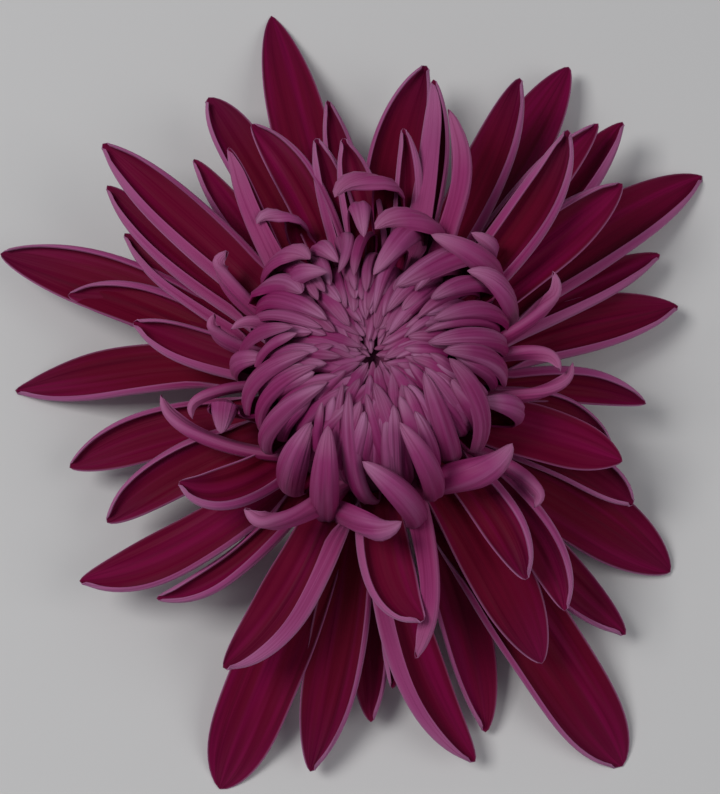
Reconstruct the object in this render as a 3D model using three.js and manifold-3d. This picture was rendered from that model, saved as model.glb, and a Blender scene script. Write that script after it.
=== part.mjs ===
// A large chrysanthemum bloom with flat spreading petals round an incurved centre, picked with a
// short stub of stem and laid on its back. Lengths are millimetres and angles are degrees.
// While it is built, the bloom's axis stands at x = y = 0 and the surface that it lies on is z = 0.
// Azimuth 0 is along +X and 90 along +Y. A petal's left side is the one toward growing azimuth.

import * as THREE from "three";
import { mergeVertices } from "three/addons/utils/BufferGeometryUtils.js";
import Module from "manifold-3d";

const wasm = await Module();
wasm.setup();

// Driving dimensions
const STEM_RADIUS = 3.1;
const STEM_HEIGHT = 7;
const STEM_RIBS = 5;
const STEM_RIB_DEPTH = 0.35;
const GAP = 0.3;
const SAME_POINT = 0.0001;
const CALYX_TOP = 13.6;
const CALYX_RADIUS = 9.4;
const BRACTS_PER_ROW = 12;
const BRACT_ROWS = [
  { offset: 0, rootRadius: 6.4, rootHeight: 9.4, tipRadius: 11.6, tipHeight: 13.3, tipClimb: 40, width: 4.2 },
  { offset: 0.5, rootRadius: 4.2, rootHeight: 8.3, tipRadius: 10, tipHeight: 10.6, tipClimb: 25, width: 3.4 },
];
const BRACT_RISE = 5;
const HEAD_BOTTOM = CALYX_TOP + GAP;

// A petal's section: its thickness, how far its margins stand up as a share of its half width, and
// how much higher they stand for each millimetre that is folded over. Straps under NARROW_WIDTH
// have a plainer section. Of a keeled petal's depth, and of a narrow one's, a share lies above its
// curve and the rest below.
const BLADE_THICKNESS = 0.8;
const NARROW_THICKNESS = 1;
const NARROW_ABOVE = 0.4;
const NARROW_WIDTH = 8;
const FOLD_STAND = 0.3;
const STRAP_CUPPING = 0.22;
const ROLLED_CUPPING = 0.6;
const KEEL_DEPTH = 1.3;
const KEEL_ABOVE = 0.3;

// A petal's outline: its width at the root as a share of its widest, and where it is widest
const BROAD_OUTLINE = { claw: 0.3, belly: 0.6 };
const NARROW_OUTLINE = { claw: 0.5, belly: 0.65 };
const HOOK_OUTLINE = { claw: 0.5, belly: 0.7 };
const TIP_TAPER = 2.3;
const TIP_BLUNTNESS = 0.7;

// Where along a petal its rings stand, as shares of its length, before it ends in a point
const STRAP_STATIONS = [0.06, 0.32, 0.56, 0.77, 0.93];
const HOOK_STATIONS = [0.16, 0.38, 0.52, 0.66, 0.78, 0.9];
const DOME_STATIONS = [0.35, 0.58, 0.74, 0.89];
const BRACT_STATIONS = [0, 0.4, 0.75];

// The incurved dome: its petals lie along balls about one point, smaller toward the eye, and then
// the whole is pressed flatter, dips at the eye and leans a little toward azimuth 90. Tilts are
// measured at that point from straight up, to a petal's tip and on to its shoulder.
const DOME = { x: 1, y: 3.5, z: 29.5, flatness: 0.7, lean: 5 };
const EYE = { dip: 5, radius: 7 };
const DOME_PETALS = 62;
const DOME_BALL = { inner: 17, outer: 22, uneven: 0.5 };
const DOME_TIP_TILT = { inner: 4, outer: 38, uneven: 2.5 };
const DOME_LIE = { inner: 34, outer: 50 };
const DOME_WIDTH = { inner: 2.6, outer: 4.9, uneven: 0.1 };
const DOME_ROOT_REACH = { inner: 9, outer: 13 };
const DOME_ROOT_LEVEL = { inner: 0, outer: -6 };
const DOME_SWIRL = 14;
const DOME_SWIRL_FADE = 1.2;
const DOME_UNEVEN_AZIMUTH = 9;
const DOME_TIP_LIFT = 0.12;
const GOLDEN_ANGLE = 137.508;
const SEED = 7;

// Profiles of what is turned about the axis, as radius and height, from the bottom up
const HEAD_PROFILE = [
  [0, HEAD_BOTTOM], [9, HEAD_BOTTOM], [14, 16.5], [15, 22], [15.5, 28], [13.5, 32.5], [8, 34.5], [0, 32],
];
const CUP_PROFILE = [
  [0, STEM_HEIGHT + GAP], [STEM_RADIUS + 0.6, STEM_HEIGHT + GAP], [7.6, 9.4],
  [CALYX_RADIUS, CALYX_TOP - 1.2], [CALYX_RADIUS - 0.8, CALYX_TOP], [0, CALYX_TOP],
];
const HEAD_SIDES = 14;
const CUP_SIDES = 20;
const STEM_POINTS_PER_RIB = 6;

// Where each tier of spreading petals leaves the head, and how steeply it rises there
const LOW_TIER = { rootRadius: 9, rootHeight: 14.8, stagger: 1.8, rise: 18 };
const MIDDLE_TIER = { rootRadius: 8, rootHeight: 18.6, stagger: 1.8, rise: 42 };
const HIGH_TIER = { rootRadius: 7, rootHeight: 21, stagger: 0, rise: 52 };
const HOOK_TIER = { rootRadius: 7, rootHeight: 20, rise: 31 };
const LEFT_SWINGS_BY = 0.6;
const BANK_PER_TURN = 0.7;
const STEEPEST_BANK = 55;
const LEAVING_PULL = 0.36;
const ARRIVING_PULL = 0.34;
const SHOULDER_PULL = 0.38;
const HOOK_PULL = 0.45;
const HOOK_DIVE = -0.3;

// Spreading petals, one row each: root azimuth, tip azimuth, tip reach, tip height, how far the
// tip turns left of straight out, how steeply it climbs, width, left margin fold, right margin fold
const LOW_PETALS = [
  [4, 355, 41, 11, -22, -2, 10, 1, 0],
  [12, 4.5, 47.5, 10, -30, 2, 6.5, 1.9, 0],
  [27, 23, 59.5, 4, -8, -8, 10.5, 0, 1.4],
  [33, 32, 61, 5.5, -4, -6, 8, 0, 1.9],
  [40, 39, 78.5, -0.4, -6, -12, 12, 0, 1.9],
  [54, 53, 67.2, 14, -6, 4, 7.5, 0.9, 0],
  [50, 51, 72.3, 9, 4, 2, 9.5, 0, 2.4],
  [62, 62, 78.5, 4, 0, -8, 11, 0, 0],
  [85, 81, 67, 11, -14, 2, 10.5, 0.6, 0.6],
  [92, 97, 59, 13, 5, 5, 6.5, 1.2, 0.6],
  [103, 102.5, 83.5, -0.4, 0, -14, 10.5, 0, 0],
  [112, 115.5, 66, 12, 6, 2, 9, 1, 0],
  [120, 123, 56, 14, 0, 6, 6, 1.2, 0],
  [156, 156.5, 56.5, 12, 24, 2, 8.5, 0, 1.8],
  [150, 154, 72, 8, 10, -6, 11, 0, 1.4],
  [158, 172, 63, -0.4, 12, -12, 9.5, 1.2, 0],
  [180, 187.5, 51.5, 7, 18, -4, 9, 0, 1.2],
  [192, 201, 47, 10, 22, 0, 8.5, 0, 1.2],
  [219, 209, 55, 10, -25, 6, 9.5, 0.9, 0],
  [233, 220.5, 46, 12, -35, 12, 5.5, 1.4, 1.1],
  [250, 247.5, 65, -0.4, 0, -12, 12, 0, 0],
  [264, 260.4, 58.2, 3.5, -6, -8, 10, 1, 0],
  [269, 270.4, 49.4, 4.5, 0, -2, 7, 1, 0],
  [276, 287.5, 58.5, 4, 28, -4, 9.5, 0, 3],
  [282, 275, 44.5, 9, -10, 2, 5.5, 0, 1.2],
  [298, 291, 54.5, 2, -14, -6, 8.5, 0, 0.8],
  [308, 307, 70.5, -0.4, -2, -10, 13.5, 0, 1.1],
  [323, 321, 55.5, 5, 0, 0, 9, 0, 0.9],
  [340, 335.5, 57, 0.6, -10, -10, 13, 0, 0],
  [350, 342.7, 46.5, 10, -25, -6, 7.5, 0.9, 0.9],
];
const MIDDLE_PETALS = [
  [45, 42.5, 58.5, 21, -2, 8, 10, 2, 0],
  [48, 54.5, 57.5, 27, 22, 16, 9, 1.9, 1.7],
  [64, 66.5, 66.5, 17, 8, 8, 9, 0, 1.7],
  [72, 79, 57.5, 26, 18, 12, 5.8, 4.6, 0.4],
  [78, 83, 47, 28, 20, 14, 5.5, 0.8, 1.9],
  [86, 95.5, 45.5, 27, 14, 25, 7.5, 1.4, 1.2],
  [95, 101, 47, 25, 8, 14, 6.5, 1.9, 0.7],
  [103, 112, 53.5, 23, 26, 10, 7.5, 0, 1.4],
  [141, 138, 60.4, 18, -8, 6, 8, 1.9, 0],
  [134, 134, 65.7, 20, 0, 4, 9.5, 2.1, 1.3],
  [148, 142, 53.3, 15, -6, 8, 7.5, 1.9, 0],
  [162, 160.5, 41, 25, -6, 26, 7.5, 1.5, 0.8],
  [212, 204, 33, 27, -60, 20, 7.5, 2, 0],
  [252, 241, 48, 19, -30, 8, 10, 3.2, 0],
  [276, 283.5, 36.5, 27, 50, 34, 9, 0, 1.6],
  [313, 304.5, 49.5, 14, -12, -4, 10.5, 0, 0],
  [332, 313.5, 45.5, 19, -40, 4, 7.5, 1.7, 0],
  [326, 310.5, 38, 25, -30, 10, 7.5, 1.6, 0],
  [353, 349, 42.5, 18, -8, -4, 9.5, 0, 0],
];
const HIGH_PETALS = [
  [132, 119, 47.5, 32, -14, 26, 4.8, 4, 0],
  [60, 75, 50.5, 31, 50, 10, 5, 0, 3.8],
  [300, 280, 41.5, 22, -50, -10, 4.8, 3.8, 0],
  [250, 176.6, 33.9, 23, -93, 13, 4, 3.6, 0],
  [24, 32, 34, 38, 100, 30, 3.6, 0, 3],
  [280, 225.5, 27.2, 35.5, -123, 11, 5.4, 4.2, 0],
  [339, 326, 31.5, 26.4, -117, -11, 4.4, 3.4, 0],
  [30, 6, 30.5, 32, -100, 10, 3.4, 2.8, 0],
  [2, 9.5, 33, 30, 90, 10, 3.6, 0, 2.9],
  [138, 156, 24, 33, 80, -30, 3.4, 0, 2.4],
  [142, 134.5, 32.2, 33, -120, 10, 4.2, 3.6, 0],
  [152, 152, 28, 31, -110, 10, 3.6, 3, 0],
  [158, 187.7, 28.3, 29, 120, -18, 2.8, 0, 2.3],
];

// Hooked petals, which rise to a shoulder and bend over to a tip that shows their backs, one row
// each: root azimuth, shoulder azimuth, reach and height, tip azimuth, reach and height, width, and
// how far the tip turns left of straight from the shoulder
const HOOKED_PETALS = [
  [80, 84, 36, 30, 100, 32, 35, 6.2, 50],
  [88, 93, 31, 34, 92, 24, 37, 4.6, 0],
  [64, 68, 30, 31, 88, 25, 38, 6.6, 40],
  [74, 74, 29, 30, 88, 17, 39, 4.8, 0],
  [38, 42, 29, 28, 68, 26, 38, 5.2, 0],
  [28, 30, 28, 27, 50, 24, 37, 5.6, 25],
  [48, 49, 32, 29, 58, 31, 33, 4.4, 0],
  [300, 300, 18, 25, 337, 24, 36, 6, 35],
  [252, 254, 20, 24, 283, 22, 35, 5.6, 50],
  [294, 293, 22, 27, 265, 13, 39, 5, 0],
  [304, 303, 20, 30, 300, 9, 43, 4.2, 0],
  [254, 250, 21, 26, 231, 10, 41, 5, 0],
  [230, 228, 20, 24, 216, 11, 38, 5.6, 0],
  [355, 355, 25, 27, 353, 17, 34, 4.6, 0],
  [180, 181.5, 23, 29, 194, 24.4, 28, 6.2, 0],
  [168, 166.6, 23, 28, 164, 16.7, 35, 4.6, 0],
  [126, 127, 27, 29, 115, 22, 38, 6.8, -40],
  [128, 127, 22, 32, 111, 18, 41, 4.4, 0],
  [110, 110, 26, 30, 104, 20, 38, 4.4, 0],
  [110, 111, 32, 29, 123, 33.5, 32, 4.8, 60],
];

const radians = THREE.MathUtils.degToRad;
const UP = new THREE.Vector3(0, 0, 1);
const ALONG_X = new THREE.Vector3(1, 0, 0);

function place(azimuth, reach, height) {
  const a = radians(azimuth);
  return new THREE.Vector3(reach * Math.cos(a), reach * Math.sin(a), height);
}

function heading(azimuth, climb) {
  return place(azimuth, Math.cos(radians(climb)), Math.sin(radians(climb)));
}

// The level direction to the left of a petal that heads along an azimuth
function leftOf(azimuth) {
  return place(azimuth + 90, 1, 0);
}

// A repeatable random number from 0 to 1 at each call
function dice(seed) {
  let state = seed;
  return () => {
    state = (Math.imul(state, 1664525) + 1013904223) >>> 0;
    return state / 4294967296;
  };
}

// A petal's width at s along it, as a share of its widest
function swell(s, { claw, belly }) {
  if (s < belly) return claw + (1 - claw) * Math.sin((s / belly) * Math.PI / 2);
  return (1 - ((s - belly) / (1 - belly)) ** TIP_TAPER) ** TIP_BLUNTNESS;
}

function solidFromArrays(positions, triangles) {
  const mesh = new wasm.Mesh({
    numProp: 3,
    vertProperties: new Float32Array(positions),
    triVerts: new Uint32Array(triangles),
  });
  mesh.merge();
  return new wasm.Manifold(mesh);
}

// A closed solid through rings of like points, capped at the root and drawn to a point at the tip.
// Each ring runs round the petal from its left margin over the upper face, and its last two sides
// are the under face, which is split into triangles the same way as the face above it.
function loft(rings, tip) {
  const count = rings[0].length;
  const positions = [...rings.flat(), tip].flatMap((p) => [p.x, p.y, p.z]);
  const apex = rings.length * count;
  const triangles = [];
  const pivot = Math.floor(count / 3);
  for (let k = 1; k < count - 1; k += 1) {
    triangles.push(pivot, (pivot + k + 1) % count, (pivot + k) % count);
  }
  for (let i = 0; i < rings.length - 1; i += 1) {
    for (let j = 0; j < count; j += 1) {
      const a = i * count + j;
      const b = i * count + (j + 1) % count;
      const c = b + count;
      const d = a + count;
      if (j < count - 2) triangles.push(a, b, c, a, c, d);
      else triangles.push(a, b, d, b, c, d);
    }
  }
  for (let j = 0; j < count; j += 1) {
    triangles.push(apex - count + j, apex - count + (j + 1) % count, apex);
  }
  return solidFromArrays(positions, triangles);
}

// The petal's left and upper directions at s along its curve. The left one swings from its
// direction at the root to the one at the tip over the first part of the petal.
function frameAt(curve, s, leftAtRoot, leftAtTip) {
  const along = curve.getTangentAt(s);
  const swing = THREE.MathUtils.smoothstep(s, 0, LEFT_SWINGS_BY);
  const left = leftAtRoot.clone().lerp(leftAtTip, swing);
  left.addScaledVector(along, -left.dot(along)).normalize();
  const upper = along.clone().cross(left);
  return { left, upper };
}

function at(origin, frame, x, y) {
  return origin.clone().addScaledVector(frame.left, x).addScaledVector(frame.upper, y);
}

// A broad petal: a shallow trough, thicker along each folded margin
function broadPetal(curve, leftAtRoot, leftAtTip, width, leftFold, rightFold) {
  const rings = STRAP_STATIONS.map((s) => {
    const frame = frameAt(curve, s, leftAtRoot, leftAtTip);
    const centre = curve.getPointAt(s);
    const half = (width / 2) * swell(s, BROAD_OUTLINE);
    const lift = STRAP_CUPPING * half;
    const skin = BLADE_THICKNESS / 2;
    return [
      at(centre, frame, half, lift - skin),
      at(centre, frame, half, lift + FOLD_STAND * leftFold + skin),
      at(centre, frame, 0, skin),
      at(centre, frame, -half, lift + FOLD_STAND * rightFold + skin),
      at(centre, frame, -half, lift - skin),
      at(centre, frame, 0, -skin),
    ];
  });
  return loft(rings, curve.getPointAt(1));
}

// A hooked or incurved petal: three-sided, flat on its upper face and keeled along its back
function keeledPetal(curve, leftAtRoot, leftAtTip, width, stations) {
  const rings = stations.map((s) => {
    const frame = frameAt(curve, s, leftAtRoot, leftAtTip);
    const centre = curve.getPointAt(s);
    const half = (width / 2) * swell(s, HOOK_OUTLINE);
    return [
      at(centre, frame, half, KEEL_DEPTH * KEEL_ABOVE),
      at(centre, frame, -half, KEEL_DEPTH * KEEL_ABOVE),
      at(centre, frame, 0, KEEL_DEPTH * (KEEL_ABOVE - 1)),
    ];
  });
  return loft(rings, curve.getPointAt(1));
}

// A narrow or rolled petal: a strap whose margins stand up by a share of its half width, and more
// where they are folded
function narrowPetal(curve, leftAtRoot, leftAtTip, width, cupping, leftFold, rightFold) {
  const rings = STRAP_STATIONS.map((s) => {
    const frame = frameAt(curve, s, leftAtRoot, leftAtTip);
    const centre = curve.getPointAt(s);
    const half = (width / 2) * swell(s, NARROW_OUTLINE);
    return [
      at(centre, frame, half, cupping * half + FOLD_STAND * leftFold),
      at(centre, frame, 0, NARROW_THICKNESS * NARROW_ABOVE),
      at(centre, frame, -half, cupping * half + FOLD_STAND * rightFold),
      at(centre, frame, 0, NARROW_THICKNESS * (NARROW_ABOVE - 1)),
    ];
  });
  return loft(rings, curve.getPointAt(1));
}

function spreadingCurve(tier, row, index) {
  const [rootAzimuth, tipAzimuth, reach, height, turn, climb] = row;
  const root = place(rootAzimuth, tier.rootRadius, tier.rootHeight + tier.stagger * (index % 2));
  const tip = place(tipAzimuth, reach, height);
  const span = root.distanceTo(tip);
  const leaving = root.clone().addScaledVector(heading(rootAzimuth, tier.rise), span * LEAVING_PULL);
  const arriving = tip.clone().addScaledVector(heading(tipAzimuth + turn, climb), -span * ARRIVING_PULL);
  return new THREE.CubicBezierCurve3(root, leaving, arriving, tip);
}

function spreadingPetals(tier, rows) {
  return rows.map((row, index) => {
    const [rootAzimuth, tipAzimuth, , , turn, , width, leftFold, rightFold] = row;
    const leftAtRoot = leftOf(rootAzimuth);
    const leftAtTip = leftOf(tipAzimuth + turn);
    const curve = spreadingCurve(tier, row, index);
    if (width < NARROW_WIDTH) {
      return narrowPetal(curve, leftAtRoot, leftAtTip, width, STRAP_CUPPING, leftFold, rightFold);
    }
    return broadPetal(curve, leftAtRoot, leftAtTip, width, leftFold, rightFold);
  });
}

// The left of a rolled petal that heads along an azimuth and leans into its turn
function bankedLeft(azimuth, turn) {
  const bank = THREE.MathUtils.clamp(-turn * BANK_PER_TURN, -STEEPEST_BANK, STEEPEST_BANK);
  return leftOf(azimuth).multiplyScalar(Math.cos(radians(bank)))
    .addScaledVector(UP, Math.sin(radians(bank)));
}

function highPetals() {
  return HIGH_PETALS.map((row, index) => {
    const [rootAzimuth, tipAzimuth, , , turn, , width, leftFold, rightFold] = row;
    const curve = spreadingCurve(HIGH_TIER, row, index);
    const leftAtTip = bankedLeft(tipAzimuth + turn, turn);
    return narrowPetal(
      curve, leftOf(rootAzimuth), leftAtTip, width, ROLLED_CUPPING, leftFold, rightFold);
  });
}

// The level direction in which a hooked petal arrives at its tip
function arrivalAt(tip, shoulder, turn) {
  return tip.clone().sub(shoulder).setZ(0).normalize().applyAxisAngle(UP, radians(turn));
}

// From a root on the azimuth up to a shoulder, where the petal runs along "over", then on to the
// tip, where it turns aside and climbs or dives by a slope
function hookCurve(azimuth, root, shoulder, tip, over, dive, turn = 0) {
  const leaving = heading(azimuth, HOOK_TIER.rise);
  const arriving = arrivalAt(tip, shoulder, turn).addScaledVector(UP, dive).normalize();
  const lower = root.distanceTo(shoulder) * SHOULDER_PULL;
  const upper = shoulder.distanceTo(tip) * HOOK_PULL;
  const curve = new THREE.CurvePath();
  curve.add(new THREE.CubicBezierCurve3(
    root, root.clone().addScaledVector(leaving, lower),
    shoulder.clone().addScaledVector(over, -lower), shoulder));
  curve.add(new THREE.CubicBezierCurve3(
    shoulder, shoulder.clone().addScaledVector(over, upper),
    tip.clone().addScaledVector(arriving, -upper), tip));
  return curve;
}

// The left direction at the tip that turns the petal's back to the sky there
function backToTheSky(shoulder, tip, turn = 0) {
  return arrivalAt(tip, shoulder, turn).cross(UP);
}

function hookedPetals() {
  return HOOKED_PETALS.map((row) => {
    const [azimuth, width, turn] = [row[0], row[7], row[8]];
    const root = place(azimuth, HOOK_TIER.rootRadius, HOOK_TIER.rootHeight);
    const shoulder = place(...row.slice(1, 4));
    const tip = place(...row.slice(4, 7));
    const curve = hookCurve(azimuth, root, shoulder, tip, UP, HOOK_DIVE, turn);
    return keeledPetal(curve, leftOf(azimuth), backToTheSky(shoulder, tip, turn), width, HOOK_STATIONS);
  });
}

// A direction in the dome before it leans, as it is once it leans
function leaned(direction) {
  return direction.applyAxisAngle(ALONG_X, -radians(DOME.lean));
}

// Takes a curve round the dome's own middle to its place, pressed flatter, dipped at the eye and
// leaning
function settleInDome(curve) {
  const corners = new Set(curve.curves.flatMap((part) => [part.v0, part.v1, part.v2, part.v3]));
  for (const corner of corners) {
    const fromEye = Math.hypot(corner.x, corner.y) / EYE.radius;
    corner.z = corner.z * DOME.flatness - EYE.dip * Math.exp(-(fromEye ** 2));
    leaned(corner).add(DOME);
  }
  return curve;
}

// The dome's petals, from the eye out by the golden angle. Each lies along its ball from its
// shoulder to its tip, and those nearer the eye lie on a slightly smaller ball.
function domePetals() {
  const roll = dice(SEED);
  const spread = (amount) => (roll() * 2 - 1) * amount;
  const petals = [];
  for (let i = 0; i < DOME_PETALS; i += 1) {
    const share = (i + 0.5) / DOME_PETALS;
    const between = ({ inner, outer }) => THREE.MathUtils.lerp(inner, outer, share);
    const azimuth = i * GOLDEN_ANGLE + spread(DOME_UNEVEN_AZIMUTH);
    const tipTilt = between(DOME_TIP_TILT) + spread(DOME_TIP_TILT.uneven);
    const shoulderTilt = tipTilt + between(DOME_LIE);
    const ball = between(DOME_BALL) + spread(DOME_BALL.uneven);
    const onBall = (direction, tilt) => place(
      direction, ball * Math.sin(radians(tilt)), ball * Math.cos(radians(tilt)));
    const swirl = (DOME_SWIRL + spread(DOME_SWIRL)) * (DOME_SWIRL_FADE - share);
    const shoulder = onBall(azimuth, shoulderTilt);
    const tip = onBall(azimuth + swirl, tipTilt);
    const root = place(azimuth, between(DOME_ROOT_REACH), between(DOME_ROOT_LEVEL));
    const alongBall = heading(azimuth + 180, shoulderTilt);
    const dive = Math.tan(radians(tipTilt)) - DOME_TIP_LIFT;
    const leftAtTip = leaned(backToTheSky(shoulder, tip));
    const curve = settleInDome(hookCurve(azimuth, root, shoulder, tip, alongBall, dive));
    const width = between(DOME_WIDTH) * (1 + spread(DOME_WIDTH.uneven));
    petals.push(keeledPetal(curve, leaned(leftOf(azimuth)), leftAtTip, width, DOME_STATIONS));
  }
  return petals;
}

function solidFromGeometry(geometry) {
  const bare = new THREE.BufferGeometry();
  bare.setAttribute("position", geometry.getAttribute("position"));
  bare.setIndex(geometry.getIndex());
  const merged = mergeVertices(bare, SAME_POINT);
  return solidFromArrays(merged.getAttribute("position").array, merged.getIndex().array);
}

// A solid turned about the bloom's axis, from a profile of radius and height that runs upward
function turned(profile, segments) {
  const points = profile.map(([radius, height]) => new THREE.Vector2(radius, height));
  return solidFromGeometry(new THREE.LatheGeometry(points, segments).rotateX(Math.PI / 2));
}

// What lies under the surface is cut away, which leaves small flats where the lowest petals rest
function underTheSurface() {
  const [side, depth] = [300, 20];
  const slab = new THREE.BoxGeometry(side, side, depth);
  return solidFromGeometry(slab.translate(0, 0, -depth / 2));
}

// The petals, fused with the head that they stand on: a shallow dish under the spreading tiers,
// with the ground that the dome lies on above it. A speck that the cut sets loose is left out.
function petalsSolid() {
  const blades = [
    turned(HEAD_PROFILE, HEAD_SIDES),
    ...spreadingPetals(LOW_TIER, LOW_PETALS),
    ...spreadingPetals(MIDDLE_TIER, MIDDLE_PETALS),
    ...highPetals(),
    ...hookedPetals(),
    ...domePetals(),
  ];
  const bloom = wasm.Manifold.union(blades).subtract(underTheSurface());
  const pieces = bloom.decompose();
  return pieces.reduce((best, piece) => (piece.volume() > best.volume() ? piece : best));
}

// The green cup of bracts under the head: a solid cup with two rows of pointed bracts round it,
// the outer row shorter and set between those of the inner row
function calyxSolid() {
  const cup = turned(CUP_PROFILE, CUP_SIDES);
  const bracts = [];
  for (const row of BRACT_ROWS) {
    for (let i = 0; i < BRACTS_PER_ROW; i += 1) {
      const azimuth = (i + row.offset) * 360 / BRACTS_PER_ROW;
      const root = place(azimuth, row.rootRadius, row.rootHeight);
      const tip = place(azimuth, row.tipRadius, row.tipHeight);
      const span = root.distanceTo(tip);
      const curve = new THREE.CubicBezierCurve3(
        root, root.clone().addScaledVector(heading(azimuth, BRACT_RISE), span * LEAVING_PULL),
        tip.clone().addScaledVector(heading(azimuth, row.tipClimb), -span * ARRIVING_PULL), tip);
      const left = leftOf(azimuth);
      bracts.push(keeledPetal(curve, left, left, row.width, BRACT_STATIONS));
    }
  }
  return wasm.Manifold.union([cup, ...bracts]);
}

// A stub of ribbed stem with a flat cut end, on which the bloom's weight partly rests
function stemSolid() {
  const outline = new THREE.Shape();
  const steps = STEM_RIBS * STEM_POINTS_PER_RIB;
  for (let i = 0; i < steps; i += 1) {
    const angle = (i / steps) * 2 * Math.PI;
    const radius = STEM_RADIUS + STEM_RIB_DEPTH * Math.cos(STEM_RIBS * angle);
    const point = [radius * Math.cos(angle), radius * Math.sin(angle)];
    if (i === 0) outline.moveTo(...point);
    else outline.lineTo(...point);
  }
  return solidFromGeometry(new THREE.ExtrudeGeometry(outline, { depth: STEM_HEIGHT, bevelEnabled: false }));
}

function meshOf(name, solid, material) {
  const { vertProperties, triVerts } = solid.getMesh();
  const geometry = new THREE.BufferGeometry();
  geometry.setAttribute("position", new THREE.BufferAttribute(vertProperties, 3));
  geometry.setIndex(new THREE.BufferAttribute(triVerts, 1));
  geometry.computeVertexNormals();
  const mesh = new THREE.Mesh(geometry, material);
  mesh.name = name;
  return mesh;
}

const crimson = new THREE.MeshStandardMaterial({ color: 0x7a1440, roughness: 0.6, metalness: 0 });
const bractGreen = new THREE.MeshStandardMaterial({ color: 0x5c6f3c, roughness: 0.7, metalness: 0 });
const stemGreen = new THREE.MeshStandardMaterial({ color: 0x6b7d45, roughness: 0.7, metalness: 0 });

const bloom = new THREE.Group();
bloom.name = "chrysanthemum";
bloom.add(meshOf("petals", petalsSolid(), crimson));
bloom.add(meshOf("calyx", calyxSolid(), bractGreen));
bloom.add(meshOf("stem", stemSolid(), stemGreen));

// The origin moves to the middle of the footprint, on the surface
const bounds = new THREE.Box3().setFromObject(bloom);
const middle = bounds.getCenter(new THREE.Vector3());
bloom.position.set(-middle.x, -middle.y, -bounds.min.z);

export default bloom;
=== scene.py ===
# %% [markdown]
# # A picked chrysanthemum bloom
# The bloom lies face up on its back. Some sixty flat petals spread in three tiers, twenty more hook
# over inside them, and a dome of incurved petals stands in the middle. Every petal here is a flat
# strip of mesh bent along its own curve, because on the real flower too they are one kind of petal
# that grew in many ways. Lengths are millimetres, and MM turns them into Blender's metres.

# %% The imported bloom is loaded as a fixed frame
import math
import bpy
import numpy as np
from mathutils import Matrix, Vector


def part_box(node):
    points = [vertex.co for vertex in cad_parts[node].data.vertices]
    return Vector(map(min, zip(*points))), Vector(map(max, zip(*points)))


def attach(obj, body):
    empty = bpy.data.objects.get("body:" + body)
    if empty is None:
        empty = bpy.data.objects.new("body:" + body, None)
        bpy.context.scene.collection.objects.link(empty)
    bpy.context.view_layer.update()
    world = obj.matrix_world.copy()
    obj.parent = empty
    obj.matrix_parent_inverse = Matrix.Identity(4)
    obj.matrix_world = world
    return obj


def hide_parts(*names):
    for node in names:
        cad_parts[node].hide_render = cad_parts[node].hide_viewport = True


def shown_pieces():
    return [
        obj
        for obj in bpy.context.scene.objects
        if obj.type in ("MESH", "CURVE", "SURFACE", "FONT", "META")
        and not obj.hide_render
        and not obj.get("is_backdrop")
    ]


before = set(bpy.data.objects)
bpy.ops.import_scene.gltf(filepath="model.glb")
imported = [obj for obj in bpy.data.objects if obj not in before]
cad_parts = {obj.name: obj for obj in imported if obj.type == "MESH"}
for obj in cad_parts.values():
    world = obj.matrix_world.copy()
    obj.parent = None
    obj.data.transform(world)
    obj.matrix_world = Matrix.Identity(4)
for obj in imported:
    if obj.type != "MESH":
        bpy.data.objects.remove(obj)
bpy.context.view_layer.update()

MM = 0.001
UP = np.array([0.0, 0.0, 1.0])
calyx_low, calyx_high = (np.array(corner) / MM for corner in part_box("calyx"))
AXIS = np.array([*((calyx_low + calyx_high) / 2)[:2], 0.0])
print("axis of the bloom in mm", AXIS.round(2))

# %% [markdown]
# ## Where the bloom is seen from
# The camera is settled first, because the dome's petals are placed where they are seen. It looks
# down steeply, as one does at a flower in a bed.

# %% Camera
CAMERA_LENS = 80
CAMERA_SENSOR = 36
CAMERA_ELEVATION = math.radians(75)
CAMERA_DISTANCE = 291
CAMERA_NEAREST = 10
PICTURE_SIZE = (720, 794)
AIM = np.array([-1.46, 2.29, 20])
TOWARD_CAMERA = np.array([0, -math.cos(CAMERA_ELEVATION), math.sin(CAMERA_ELEVATION)])
EYE = AIM + TOWARD_CAMERA * CAMERA_DISTANCE
camera_data = bpy.data.cameras.new("camera")
camera_data.lens = CAMERA_LENS
camera_data.sensor_width = CAMERA_SENSOR
camera_data.clip_start = CAMERA_NEAREST * MM
camera = bpy.data.objects.new("camera", camera_data)
camera.location = (AXIS + EYE) * MM
camera.rotation_euler = (math.pi / 2 - CAMERA_ELEVATION, 0, 0)
bpy.context.collection.objects.link(camera)
bpy.context.scene.camera = camera
print("camera at", camera.location)


def line_of_sight(across, down):
    """The direction from the camera through a pixel, measured from the picture's top left corner."""
    width, height = PICTURE_SIZE
    pixels_to_picture = CAMERA_LENS / CAMERA_SENSOR * max(width, height)
    top = np.array([0, math.sin(CAMERA_ELEVATION), math.cos(CAMERA_ELEVATION)])
    side = np.array([1, 0, 0])
    in_picture = side * (across - width / 2) - top * (down - height / 2)
    return in_picture - TOWARD_CAMERA * pixels_to_picture


# %% [markdown]
# ## Directions and curves
# Azimuth 0 is along +X and 90 along +Y, measured round the bloom's axis. A petal grows along a
# Bezier curve, which needs only the two ends and the directions there, and these are what can be
# judged by eye on a flower.

# %% Directions round the axis
def place(azimuth, reach, height):
    turn = math.radians(azimuth)
    return np.array([reach * math.cos(turn), reach * math.sin(turn), height])


def heading(azimuth, climb):
    return place(azimuth, math.cos(math.radians(climb)), math.sin(math.radians(climb)))


def left_of(azimuth):
    return place(azimuth + 90, 1, 0)


def unit(vectors):
    return vectors / np.linalg.norm(vectors, axis=-1, keepdims=True)


def distance(a, b):
    return np.linalg.norm(a - b)


# %% Bezier curves, and places along a path by its length
CURVE_STEPS = 60


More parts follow.
